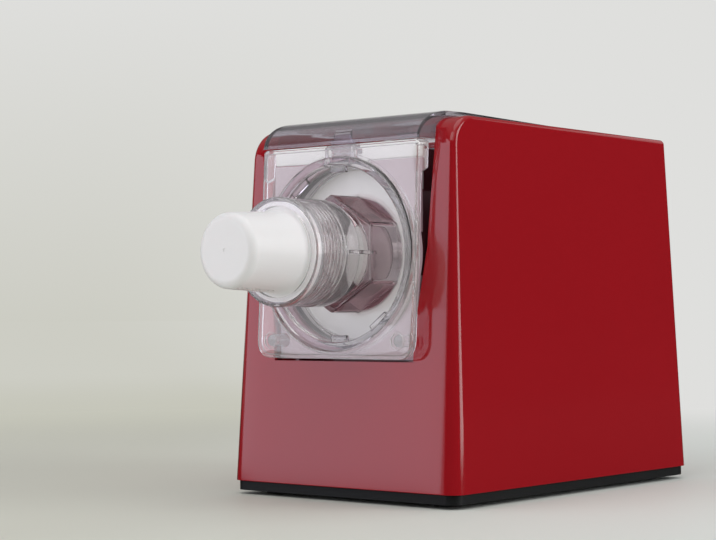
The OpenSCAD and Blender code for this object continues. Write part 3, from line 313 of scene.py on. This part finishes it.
drum = moulded_copy("mixing_drum", "drum_tub", "housing", edge=0.0004)
drum.data.materials.append(drum_pale)
drum.data.materials.append(drum_painted_shade)
# The faces of the tub's outside get the painted shade.
drum.data.polygons.foreach_set("material_index", outside_of_drum(drum.data).astype(np.int32))
auger_white = moulded_plastic("auger_white", (0.84, 0.835, 0.83), 0.33, drift=0.02, grain=6e-6)
auger = moulded_copy("auger", "auger_moulding", "auger", sharp=38.0)
auger.data.materials.append(auger_white)
seal_grey = moulded_plastic("seal_grey", (0.30, 0.30, 0.32), 0.62, drift=0.1)
seal_black = moulded_plastic("seal_black", (0.03, 0.03, 0.032), 0.66, drift=0.15)
dress(seal_grey, "cover_seal", "die_seal")
dress(seal_black, "shaft_seal", "cradle_pads")

# ---- Drive ----
# A fan-cooled induction motor turns the auger through three pairs of nylon gears in a
# glass-filled box. Shafts are ground steel, bearings sintered bronze.

nylon = moulded_plastic("nylon", (0.70, 0.68, 0.58), 0.38, drift=0.05)
box_plastic = moulded_plastic("box_plastic", (0.045, 0.045, 0.05), 0.50, drift=0.15, grain=2e-5)
ground_steel = metal("ground_steel", (0.62, 0.63, 0.65), 0.20, stretch=(1, 6, 1))
bronze = metal("bronze", (0.50, 0.31, 0.14), 0.42)
die_cast = metal("die_cast", (0.55, 0.56, 0.58), 0.48, scale=300.0)
laminations = metal("laminations", (0.30, 0.30, 0.31), 0.45, stretch=(0.2, 9, 0.2))
dress(nylon, "output_gear", "second_gear", "first_gear")
dress(box_plastic, "gear_housing", "gear_cover")
dress(ground_steel, "drive_shaft", "gear_axles", "hinge_pins")
dress(metal("nickel", (0.60, 0.59, 0.56), 0.22), "lid_magnet")
dress(bronze, "output_bushes", "motor_pinion", "motor_bearings")
dress(die_cast, "motor_front_bell", "motor_rear_bell")
dress(laminations, "stator", "rotor")
dress(metal("copper_wire", (0.62, 0.26, 0.10), 0.36, stretch=(1, 1, 8)), "windings")

# ---- Front cover: dish, boss and neck ----
# One clear polycarbonate moulding: a leaning plate with a rim, a round bead, a deep dish, a
# six-sided boss and the threaded neck that the die sits on. It hooks into the bay.

TURN = np.linspace(0, 2 * np.pi, 240, endpoint=False)
BOSS, BEAD, BEAD_BACK, FLOOR, DISH_BACK = 52.5, 56.5, 64.5, 84.0, 86.5  # mm behind the neck's front
neck_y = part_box("front_cover")[0].y
boss_y, bead_y, floor_y = neck_y + BOSS * MM, neck_y + BEAD * MM, neck_y + FLOOR * MM
bead_back = neck_y + BEAD_BACK * MM


def ramp(value, start, end):
    """0 before start, 1 past end, and smooth in between."""
    settings = {"interpolation_type": "SMOOTHSTEP"}
    limits = {"Value": value, "From Min": start, "From Max": end}
    return value.node("ShaderNodeMapRange", settings, limits)


# Painted reflection: pinkish colours on the boss, deeper red above and below, stand in for the housing's
# red mirrored in it.
BOSS_SIDES_PAINTED_RED, BOSS_ENDS_PAINTED_RED = (0.80, 0.70, 0.73, 1.0), (0.40, 0.20, 0.23, 1.0)
SATIN = {"Base Color": (0.93, 0.915, 0.93, 1.0), "Roughness": 0.28}
STRAIGHT_THROUGH = (0.98, 0.975, 0.98, 1.0)


def dish_painted_reflection_and_satin(place, tint):
    """The tint, with a painted reflection of the housing's red on the boss, deeper above and
    below, and the share of satin, which only the floor of the dish has."""
    drop = {0: place, 1: (1, 0, 1), 2: (0, 0, -AXIS_Z)}
    across = place.node("ShaderNodeVectorMath", {"operation": "MULTIPLY_ADD"}, drop)
    radius, y = across.length(), place.axis("Y")
    above = across.axis("Z").math("ABSOLUTE")
    on_boss = ramp(radius, 47 * MM, 46 * MM) * ramp(y, boss_y - 0.5 * MM, boss_y + 0.5 * MM)
    boss_painted_reflection = ramp(above, 19 * MM, 24 * MM).blend(BOSS_SIDES_PAINTED_RED, BOSS_ENDS_PAINTED_RED)
    between = ramp(radius, 41.5 * MM, 45 * MM) * ramp(radius, 65.5 * MM, 63.5 * MM)
    on_floor = between * ramp(y, floor_y - 1.6 * MM, floor_y - 0.4 * MM)
    return on_boss.blend(tint, boss_painted_reflection), on_floor * 0.75


def clear_plastic(name, tint, rough, haze, dish=False):
    """Clear polycarbonate: light goes through and bends, faint wiping marks scatter it, and haze
    is the share that the plastic itself sends back. Light on its way to what lies behind goes
    straight through, a little dimmed."""
    material, place = open_material(name)
    wiped = place.noise(26.0, 5.0) * (1.4 * rough) + 0.3 * rough
    if dish:
        tint, satin_share = dish_painted_reflection_and_satin(place, tint)
    polished = {"Base Color": tint, "Roughness": wiped, "IOR": 1.52, "Transmission Weight": 1.0 - haze}
    seen = place.node("ShaderNodeBsdfPrincipled", {}, polished)
    if dish:
        satin = place.node("ShaderNodeBsdfPrincipled", {}, SATIN)
        seen = place.node("ShaderNodeMixShader", {}, {0: satin_share, 1: seen, 2: satin})
    straight = place.node("ShaderNodeBsdfTransparent", {}, {"Color": STRAIGHT_THROUGH})
    for kind in ("Is Shadow Ray", "Is Diffuse Ray"):
        lamp_or_bounce = place.node("ShaderNodeLightPath", out=kind)
        seen = place.node("ShaderNodeMixShader", {}, {0: lamp_or_bounce, 1: seen, 2: straight})
    place.node("ShaderNodeOutputMaterial", {}, {"Surface": seen})
    return material


def six_sided(flat, corner):
    """Radius at each angle of a hexagon whose sides lie `flat` from the axis, its corners
    rounded by `corner`: the side's line near its middle, a circle round the corner elsewhere."""
    off = (TURN + np.pi / 6) % (np.pi / 3) - np.pi / 6
    in_x, in_z = flat - corner, (flat - corner) * math.tan(np.pi / 6)
    along = in_x * np.cos(off) + in_z * np.abs(np.sin(off))
    arc = along + np.sqrt(np.maximum(along**2 - in_x**2 - in_z**2 + corner**2, 0))
    return np.where(np.abs(off) < math.atan2(in_z, flat), flat / np.cos(off), arc)


def rounded_section(corners, steps=5):
    """Stations of a closed section. Each corner is (radii, y, fillet); it becomes a short curve
    that starts and ends `fillet` from it on its two sides, bent towards it (a parabola)."""
    radii = [np.broadcast_to(np.asarray(c[0], float), TURN.shape) for c in corners]
    depths = [np.broadcast_to(np.asarray(c[1], float), TURN.shape) for c in corners]
    points = np.stack([np.stack(radii), np.stack(depths)], axis=-1)
    rows = []
    for i, (_, _, fillet) in enumerate(corners):
        here, before, after = points[i], points[i - 1], points[(i + 1) % len(corners)]
        if not fillet:
            rows.append(here)
            continue
        back, ahead = before - here, after - here
        back_len = np.linalg.norm(back, axis=-1, keepdims=True)
        ahead_len = np.linalg.norm(ahead, axis=-1, keepdims=True)
        first = here + back / back_len * np.minimum(fillet, 0.45 * back_len)
        last = here + ahead / ahead_len * np.minimum(fillet, 0.45 * ahead_len)
        for t in np.linspace(0, 1, steps):
            rows.append((1 - t) ** 2 * first + 2 * t * (1 - t) * here + t**2 * last)
    return np.stack(rows)


def in_mm(front, corners):
    """rounded_section for corners in millimetres, their depths counted from `front`."""
    return rounded_section([(r * MM, front + depth * MM, fillet * MM) for r, depth, fillet in corners])


def swept_piece(name, section, body, replaced, material, x=0.0, z=AXIS_Z):
    """Carries a closed section round an axis along Y: station k at angle a lies at
    (x + r cos a, y, z + r sin a), and the grid closes on itself both ways."""
    rings, count = section.shape[:2]
    radius, depth = section[..., 0], section[..., 1]
    points = np.stack([x + radius * np.cos(TURN), depth, z + radius * np.sin(TURN)], axis=-1)
    ring, spoke = np.meshgrid(np.arange(rings), np.arange(count), indexing="ij")
    here, onward = ring * count, (ring + 1) % rings * count
    beside = (spoke + 1) % count
    quads = np.stack([here + spoke, here + beside, onward + beside, onward + spoke], axis=-1)
    surface(name, points.reshape(-1, 3), [quads.reshape(-1, 4)], body, replaced, material)


def surface(name, points, faces, body, replaced, material, sharp=40.0):
    """A closed surface from an array of points and a list with one array of faces for each
    number of corners. Its faces are turned outwards."""
    mesh = bpy.data.meshes.new(name)
    mesh.from_pydata(points.tolist(), [], sum((block.tolist() for block in faces), []))
    bm = bmesh.new()
    bm.from_mesh(mesh)
    bmesh.ops.remove_doubles(bm, verts=bm.verts, dist=1e-7)
    bmesh.ops.recalc_face_normals(bm, faces=bm.faces)
    bm.to_mesh(mesh)
    bm.free()
    mesh.polygons.foreach_set("use_smooth", np.ones(len(mesh.polygons), bool))
    mesh.set_sharp_from_angle(angle=math.radians(sharp))
    mesh.materials.append(material)
    piece = bpy.data.objects.new(name, mesh)
    bpy.context.scene.collection.objects.link(piece)
    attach(piece, body)
    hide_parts(replaced)


THREAD_PITCH = 3.75 * MM


def thread(root, start, end, height):
    """Stations of a screw thread: the radius rises from root by a flat-topped wave of y less
    the angle's share of one pitch, and fades out over half a pitch at both ends."""
    rows = np.linspace(start, end, int((end - start) / (0.26 * MM)))[:, None]
    phase = rows / THREAD_PITCH - TURN / (2 * np.pi)
    wave = np.clip(0.5 + 0.95 * np.cos(2 * np.pi * phase), 0, 1)
    fade = np.clip(np.minimum(rows - start, end - rows) / (0.5 * THREAD_PITCH), 0, 1)
    return np.stack([root + height * wave * fade, np.broadcast_to(rows, phase.shape)], axis=-1)


BORE, NECK, SOCKET, DISH, DISH_OUTSIDE, BEAD_OUTSIDE = 28, 36, 31, 66, 68.8, 73  # radii in mm
SOCKET_FLOOR = 56
boss_outside, boss_inside = six_sided(38.54, 3.0), six_sided(35.5, 1.6)
clear_cover = clear_plastic("clear_cover", (0.965, 0.945, 0.96, 1.0), 0.022, 0.02, dish=True)
moulding = np.concatenate([
    in_mm(neck_y, [(BORE, 0, 0.6), (NECK - 0.1, 0, 0.7), (NECK - 0.1, 1.2, 0)]),
    thread(35.6 * MM, neck_y + 1.4 * MM, neck_y + 23.0 * MM, 1.0 * MM),
    in_mm(neck_y, [
        (NECK, 23.8, 0), (NECK, BOSS, 1.4), (boss_outside, BOSS, 1.2),
        (boss_outside, FLOOR, 2.2), (DISH, FLOOR, 3.5), (DISH, BEAD, 1.6),
        (BEAD_OUTSIDE, BEAD, 1.9), (BEAD_OUTSIDE, BEAD_BACK, 0.6), (DISH_OUTSIDE, BEAD_BACK, 0.8),
        (DISH_OUTSIDE, DISH_BACK, 1.0), (boss_inside, DISH_BACK, 0.6), (boss_inside, SOCKET_FLOOR, 1.6),
        (SOCKET, SOCKET_FLOOR, 1.6), (SOCKET, DISH_BACK, 0.5), (BORE, DISH_BACK, 0.5),
        (BORE, 2, 0),
    ]),
])
swept_piece("cover_dish_and_neck", moulding, "front_cover", "front_cover", clear_cover)

# ---- Front cover: plate ----
# The plate leans with the housing's front. Its outline has round lower corners, a rim goes back
# all round it, and a wall stands round the bead where the plate lies in front of it.

LEAN = math.tan(math.radians(3.47))
PLATE_FOOT_Y = bead_y - (AXIS_Z * LEAN - 0.5 * MM)
PLATE_HALF, PLATE_LOW, PLATE_TOP = 76.3 * MM, 106.5 * MM, 267 * MM
LOW_CORNER, TOP_CORNER = 13 * MM, 1.8 * MM


def outline(inset):
    """Half-width corners of the plate drawn in by inset, as x and z at each angle of TURN: points
    along the straight sides and the corner arcs, read where the ray from the axis meets them."""
    half, low, top = PLATE_HALF - inset, PLATE_LOW + inset, PLATE_TOP - inset
    low_r = LOW_CORNER - inset
    corners = (
        (half - TOP_CORNER, top - TOP_CORNER, TOP_CORNER, 0.0),
        (-half + TOP_CORNER, top - TOP_CORNER, TOP_CORNER, 0.5),
        (-half + low_r, low + low_r, low_r, 1.0),
        (half - low_r, low + low_r, low_r, 1.5),
    )
    quarter = np.linspace(0, np.pi / 2, 24)
    arcs = []
    for x, z, r, start in corners:
        angle = quarter + start * np.pi
        arcs.append(np.stack([x + r * np.cos(angle), z + r * np.sin(angle)], -1))
    path = np.concatenate([*arcs, arcs[0][:1]])
    share = np.linspace(0, 1, 30, endpoint=False)[:, None]
    dense = (path[:-1, None] + (path[1:] - path[:-1])[:, None] * share).reshape(-1, 2)
    angle = np.arctan2(dense[:, 1] - AXIS_Z, dense[:, 0]) % (2 * np.pi)
    order = np.argsort(angle)
    return [np.interp(TURN, angle[order], dense[order, i], period=2 * np.pi) for i in (0, 1)]


def plate_y(z):
    """Depth of the plate's leaning face at height z."""
    return PLATE_FOOT_Y + LEAN * z


def plate_section(corners):
    """Rounded section whose corners are (x, z, depth behind the leaning face, fillet), as
    radius from the axis and y at each angle."""
    made = [(np.hypot(x, z - AXIS_Z), plate_y(z) + depth, fillet) for x, z, depth, fillet in corners]
    return rounded_section(made, 4)


def circle_at(radius):
    """x and z at each angle of TURN of a circle round the axis."""
    radius = np.broadcast_to(radius, TURN.shape)
    return radius * np.cos(TURN), AXIS_Z + radius * np.sin(TURN)


PLATE_BACK = 3 * MM
outer, inner = outline(0), outline(3 * MM)
hole = circle_at(73.15 * MM)
wall = circle_at(np.minimum(75.4 * MM, np.hypot(inner[0], inner[1] - AXIS_Z) - 0.3 * MM))
wall_depth = np.maximum(3.4 * MM, bead_back - plate_y(wall[1]))
rim = np.where(outer[1] > 246.5 * MM, 12 * MM, 4.8 * MM)
plate = plate_section([
    (*hole, 0.0, 0.5 * MM), (*outer, 0.0, 1.5 * MM),
    (*outer, rim, 0.5 * MM), (*inner, rim, 0.5 * MM),
    (*inner, PLATE_BACK, 1.0 * MM), (*wall, PLATE_BACK, 0.5 * MM),
    (*wall, wall_depth, 0.3 * MM), (*hole, wall_depth, 0.3 * MM),
])
clear_plate = clear_plastic("clear_plate", (0.965, 0.95, 0.96, 1.0), 0.025, 0.13)
swept_piece("cover_plate", plate, "front_cover", "front_cover", clear_plate)

# ---- Front cover: posts and lugs ----
# Moulded on in the same clear plastic: two posts that keep the lid's tongue between them, four
# low lugs on the wall of the dish, and a fine rib on neck and boss beside the ring nut's mark.


def ring_quads(rings, count):
    """The quads between neighbouring rings of `count` points each."""
    i, j = np.meshgrid(np.arange(rings - 1), np.arange(count), indexing="ij")
    k = (j + 1) % count
    here, onward = i * count, (i + 1) * count
    return np.stack([here + j, onward + j, onward + k, here + k], -1).reshape(-1, 4)


def rounded_bar(low, high, r):
    """Points, quads and end caps of a block with round edges: a sphere of radius r whose eight
    octants are moved apart to the block's corners, p = centre + r d + (half - r) sign(d)."""
    low, high = np.asarray(low, float), np.asarray(high, float)
    middle, half = (low + high) / 2, (high - low) / 2
    r = min(r, 0.98 * half.min())
    rows, count = 12, 24
    down = (np.arange(rows) + 0.5) / rows * np.pi
    around = (np.arange(count) + 0.5) / count * 2 * np.pi
    t, a = np.meshgrid(down, around, indexing="ij")
    d = np.stack([np.sin(t) * np.cos(a), np.sin(t) * np.sin(a), np.cos(t)], -1)
    points = middle + r * d + (half - r) * np.sign(d)
    caps = np.stack([np.arange(count)[::-1], (rows - 1) * count + np.arange(count)])
    return points.reshape(-1, 3), ring_quads(rows, count), caps


class Bars:
    """Collects rounded bars into one piece."""

    def __init__(self):
        self.points, self.quads, self.caps, self.count = [], [], [], 0

    def add(self, low, high, r, turn=0.0):
        """Adds a bar, turned about the cover's axis by `turn` radians."""
        points, quads, caps = rounded_bar(low, high, r)
        c, s = math.cos(turn), math.sin(turn)
        x, z = points[:, 0].copy(), points[:, 2] - AXIS_Z
        points[:, 0], points[:, 2] = c * x - s * z, AXIS_Z + s * x + c * z
        self.points.append(points)
        self.quads.append(quads + self.count)
        self.caps.append(caps + self.count)
        self.count += len(points)

    def piece(self, name, body, slot, replaced, material):
        """Makes the piece from all bars added so far."""
        faces = [np.concatenate(self.quads), np.concatenate(self.caps)]
        surface(name, np.concatenate(self.points), faces, body, replaced, material, sharp=50.0)


RIB_HALF = 1.4 * MM
POST_NEAR, POST_FAR = 11 * MM, 14.5 * MM  # from the middle
POST_LOW, POST_TOP = 0.2525, 0.2655
LUGS = ((127, 16), (307, 16), (90, 14), (270, 14))  # turn about the axis and width, in degrees
details = Bars()
for side in (-1, 1):
    near, far = sorted((side * POST_NEAR, side * POST_FAR))
    post_y = plate_y(0.260) + 1.5 * MM
    details.add((near, post_y, POST_LOW), (far, bead_y + 13.0 * MM, POST_TOP), 1.0 * MM)
for turn, width in LUGS:
    reach = 65.9 * MM * math.sin(math.radians(width / 2))
    details.add(
        (61.0 * MM, bead_y + 4 * MM, AXIS_Z - reach), (66.3 * MM, bead_y + 7 * MM, AXIS_Z + reach),
        0.8 * MM, math.radians(turn),
    )
details.add(
    (35.6 * MM, neck_y + 38.8 * MM, AXIS_Z - RIB_HALF), (40.6 * MM, boss_y + 1 * MM, AXIS_Z + RIB_HALF),
    0.6 * MM,
)
details.add(
    (38.0 * MM, boss_y, AXIS_Z - RIB_HALF), (39.9 * MM, boss_y + 5 * MM, AXIS_Z + RIB_HALF), 0.5 * MM
)
details.piece("cover_posts_and_lugs", "front_cover", "clear_cover", "front_cover", clear_cover)

# ---- Drum: upper lip ----
# The flange's upper edge is stiffened by a pale lip on each side of the lid's tongue. It lies
# just behind the cover's plate.

LIP_NEAR, LIP_FAR = 16.5 * MM, 71 * MM  # from the middle
LIP_LOW, LIP_TOP = 0.2548, 0.2652
lip = Bars()
for side in (-1, 1):
    near, far = sorted((side * LIP_NEAR, side * LIP_FAR))
    lip.add(
        (near, DRUM_MOUTH_Y + 0.2 * MM, LIP_LOW), (far, DRUM_MOUTH_Y + 3.0 * MM, LIP_TOP), 0.9 * MM
    )
lip.piece("drum_lip", "housing", "drum_pale", "mixing_drum", auger_white)

# ---- Front cover: pegs ----
# A peg at each lower corner goes through a hole in the drum's flange and holds the cover in line.
# A fine ring stands round its root on the plate's face.

PEG_X, PEG_Z, PEG_R = 62 * MM, 120 * MM, 4.5 * MM
face_y, peg_end = plate_y(PEG_Z), bead_y + 32 * MM
peg_root = face_y + 2.6 * MM
peg = rounded_section([
    (0.4 * MM, peg_root, 0), (PEG_R, peg_root, 0.4 * MM),
    (PEG_R, peg_end, 0.5 * MM), (0.4 * MM, peg_end, 0),
])
peg_ring = in_mm(face_y, [(5.3, -0.5, 0.3), (6.5, -0.5, 0.3), (6.5, 1, 0), (5.3, 1, 0)])
for tag, side in (("left", -1), ("right", 1)):
    for name, section in ((f"cover_peg_{tag}", peg), (f"cover_peg_ring_{tag}", peg_ring)):
        swept_piece(
            name, section, "front_cover", "front_cover", clear_plate, side * PEG_X, PEG_Z
        )

# ---- Ring nut ----
# A clear ring with an inner thread and a front lip that holds the die's flange. It is turned
# by hand on the cover's neck.

nut_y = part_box("ring_nut")[0].y
nut = np.concatenate([
    in_mm(nut_y, [
        (36.9, 3.2, 0), (32.9, 3.2, 0.5), (32.9, 0, 0.8), (40.0, 0, 1.4), (40.0, 6, 0.5),
        (39.3, 7.2, 0.4), (39.3, 31.6, 0.3), (39.9, 32.6, 0.4), (39.9, 46.5, 0.8),
        (38.3, 46.5, 0.5), (38.3, 33.5, 0.4), (36.9, 32.2, 0),
    ]),
    thread(36.85 * MM, nut_y + 8.6 * MM, nut_y + 31.8 * MM, 0.95 * MM)[::-1],
])
clear_nut = clear_plastic("clear_nut", (0.965, 0.95, 0.965, 1.0), 0.025, 0.06)
swept_piece("nut_ring", nut, "ring_nut", "ring_nut", clear_nut)
mark = Bars()
mark.add(
    (38.6 * MM, nut_y + 34.5 * MM, AXIS_Z - RIB_HALF), (41.5 * MM, nut_y + 45.5 * MM, AXIS_Z + RIB_HALF),
    0.6 * MM,
)
mark.piece("nut_mark", "ring_nut", "clear_cover", "ring_nut", clear_nut)

# ---- Die ----
# A white acetal cup held by its flange in the ring nut. Rows of holes in its underside let the
# dough out as strands; a gate mark is left in the middle of its closed end.

die_white = moulded_plastic(
    "die_white", (0.86, 0.85, 0.865), 0.36, drift=0.015, grain=5e-6, Subsurface_Weight=0.12,
    Subsurface_Radius=(0.004, 0.003, 0.003), Subsurface_Scale=1.0,
)
die = moulded_copy("die", "die_cup", "die", sharp=34.0)
die.data.materials.append(die_white)

# ---- Lid ----
# A clear lid over the filling opening: its front curves down onto the front cover, where a
# tongue drops between the two posts, and it turns on pins at its rear.

clear_lid = clear_plastic("clear_lid", (0.68, 0.65, 0.70, 1.0), 0.04, 0.04)
lid = moulded_copy("lid", "lid_moulding", "lid", edge=0.0008)
lid.data.materials.append(clear_lid)

# ---- Studio ----
# A pale table runs out into a pale room that darkens to the left. Soft boxes stand at the left
# front, far off at the right and behind, with dimmer ones above; what the gloss mirrors
# elsewhere is dark.

azimuth, pitch, roll = math.radians(39.83), math.radians(1.288), math.radians(-0.361)
level = Vector((math.cos(azimuth), math.sin(azimuth), 0))
BACK_PALE, BACK_DIM = (0.738, 0.738, 0.723, 1.0), (0.558, 0.558, 0.485, 1.0)
TABLE_RIGHT, TABLE_LEFT = (0.775, 0.81, 0.78, 1.0), (0.655, 0.66, 0.585, 1.0)
ROOM_LIGHT, MIRRORED_LIGHT = (1.0, 0.99, 0.97, 1.0), (1.0, 0.99, 0.98, 1.0)
MIRRORED_TABLE = (0.035, 0.035, 0.034, 1.0)
LEFT, BEHIND_LEFT = (-1, 0, 0), (-0.64, 0.768, 0.0)


def along(vector, direction):
    """How far the vector reaches along the direction: their dot product."""
    pair = {0: vector, 1: direction}
    return vector.node("ShaderNodeVectorMath", {"operation": "DOT_PRODUCT"}, pair, out=1)


room = bpy.data.worlds.new("room")
bpy.context.scene.world = room
room.use_nodes = True
room.node_tree.nodes.clear()
air = Wire(room.node_tree)
toward = air.node("ShaderNodeTexCoord", out="Generated")
height = along(toward, (0, 0, 1))
dim = ramp(along(toward, level), 0.10, -0.15) * (0.175 - height).math("MAXIMUM", 0.0) * (1 / 0.245)
backdrop = dim.math("MINIMUM", 1.0).blend(BACK_PALE, BACK_DIM)
shown = air.node("ShaderNodeBackground", {}, {"Color": backdrop})
lit = air.node("ShaderNodeBackground", {}, {"Color": ROOM_LIGHT, "Strength": 0.46})
ceiling, left_wall = ramp(height, 0.35, 0.8) * 0.3, ramp(along(toward, LEFT), 0.75, 0.98) * 0.12
glow = ceiling + left_wall + 0.02 + ramp(along(toward, BEHIND_LEFT), 0.84, 0.98) * 0.5
mirrored = air.node("ShaderNodeBackground", {}, {"Color": MIRRORED_LIGHT, "Strength": glow})
is_glossy = air.node("ShaderNodeLightPath", out="Is Glossy Ray")
mixed = air.node("ShaderNodeMixShader", {}, {0: is_glossy, 1: lit, 2: mirrored})
direct = 1.0 - air.node("ShaderNodeLightPath", out="Glossy Depth").math("MINIMUM", 1.0)
through = air.node("ShaderNodeLightPath", out="Is Transmission Ray") * direct
for factor in (air.node("ShaderNodeLightPath", out="Is Camera Ray"), through):
    mixed = air.node("ShaderNodeMixShader", {}, {0: factor, 1: mixed, 2: shown})
air.node("ShaderNodeOutputWorld", {}, {"Surface": mixed})

floor_mesh = bpy.data.meshes.new("table")
rings = np.array([0.0, 0.3, 0.6, 1.0, 1.6, 2.6, 6.0, 30.0])
spokes = np.linspace(0, 2 * np.pi, 48, endpoint=False)
flat = np.zeros((len(rings), len(spokes)))
disc = np.stack([np.outer(rings, np.cos(spokes)), np.outer(rings, np.sin(spokes)), flat], -1)
floor_mesh.from_pydata(disc.reshape(-1, 3).tolist(), [], ring_quads(len(rings), len(spokes)).tolist())
table = bpy.data.objects.new("table", floor_mesh)
bpy.context.scene.collection.objects.link(table)
table.location.z = -0.0002
table_top, place = open_material("table_top")
distance = place.length()
# Painted shade: the table's colour is painted darker and yellower towards the left.
painted_shade = ramp(along(place, level), 0.20, -0.30).blend(TABLE_RIGHT, TABLE_LEFT)
direction = place.node("ShaderNodeVectorMath", {"operation": "NORMALIZE"}, {0: place})
far_dim = ramp(along(direction, level), 0.10, -0.18) * (ramp(distance, 3.0, 1.0) * 0.28 + 0.72)
matt = {"Base Color": painted_shade, "Roughness": 0.55, "Specular IOR Level": 0.2}
close_by = place.node("ShaderNodeBsdfPrincipled", {}, matt)
away = place.node("ShaderNodeEmission", {}, {"Color": far_dim.blend(BACK_PALE, BACK_DIM)})
mirrored = place.node("ShaderNodeEmission", {}, {"Color": MIRRORED_TABLE})
top = place.node("ShaderNodeMixShader", {}, {0: ramp(distance, 0.45, 1.3), 1: close_by, 2: away})
is_glossy = place.node("ShaderNodeLightPath", out="Is Glossy Ray")
top = place.node("ShaderNodeMixShader", {}, {0: is_glossy, 1: top, 2: mirrored})
place.node("ShaderNodeOutputMaterial", {}, {"Surface": top})
floor_mesh.materials.append(table_top)


def soft_light(name, position, target, width, height, radiance, tint=(1.0, 1.0, 1.0)):
    """A soft box: its power is radiance times area times pi."""
    lamp = bpy.data.lights.new(name, "AREA")
    lamp.shape, lamp.size, lamp.size_y = "RECTANGLE", width, height
    lamp.energy, lamp.color = radiance * width * height * math.pi, tint
    box = bpy.data.objects.new(name, lamp)
    box.location = position
    box.rotation_mode = "QUATERNION"
    box.rotation_quaternion = (Vector(target) - Vector(position)).to_track_quat("-Z", "Y")
    box.visible_camera = False
    bpy.context.scene.collection.objects.link(box)


soft_light("left_front_box", (-1.55, -1.75, 0.55), (0, -0.1, 0.15), 1.5, 1.3, 1.72, (0.96, 0.95, 1.10))
soft_light("right_box", (3.5, 1.7, 1.2), (0, 0, 0.2), 2.1, 2.6, 3.4)
soft_light("high_right_box", (1.2, -1.35, 1.55), (0, 0, 0.15), 1.2, 1.0, 0.5)
soft_light("top_box", (0.2, -0.1, 2.0), (0, 0, 0.2), 1.6, 1.6, 1.05)
soft_light("back_box", (0.5, 2.1, 1.05), (0, 0.1, 0.15), 1.3, 0.9, 0.6)
soft_light("high_front_box", (0.0, -1.9, 1.9), (0, 0, 0.15), 2.0, 1.2, 1.5)

# ---- Camera ----
# Low and to the right of the front, with a long lens: the pose is three turns from level, in
# order azimuth, pitch and roll.

IMAGE_WIDTH, FOCAL_LENGTH = 716, 1843.4  # in pixels
EYE = (0.8957, -1.1528, 0.1418)
forward = Vector((-math.sin(azimuth), math.cos(azimuth), 0))
ahead = math.cos(pitch) * forward + math.sin(pitch) * Vector((0, 0, 1))
upright = level.cross(ahead)
right = math.cos(roll) * level + math.sin(roll) * upright
up = -math.sin(roll) * level + math.cos(roll) * upright
lens = bpy.data.cameras.new("camera")
lens.sensor_width, lens.lens = 36.0, FOCAL_LENGTH / IMAGE_WIDTH * 36
lens.clip_start, lens.clip_end = 0.05, 100
camera = bpy.data.objects.new("camera", lens)
pose = Matrix((right, up, -ahead)).transposed().to_4x4()
camera.matrix_world = Matrix.Translation(EYE) @ pose
bpy.context.scene.collection.objects.link(camera)
bpy.context.scene.camera = camera
bpy.context.scene.view_settings.view_transform = "Standard"

bpy.context.view_layer.update()
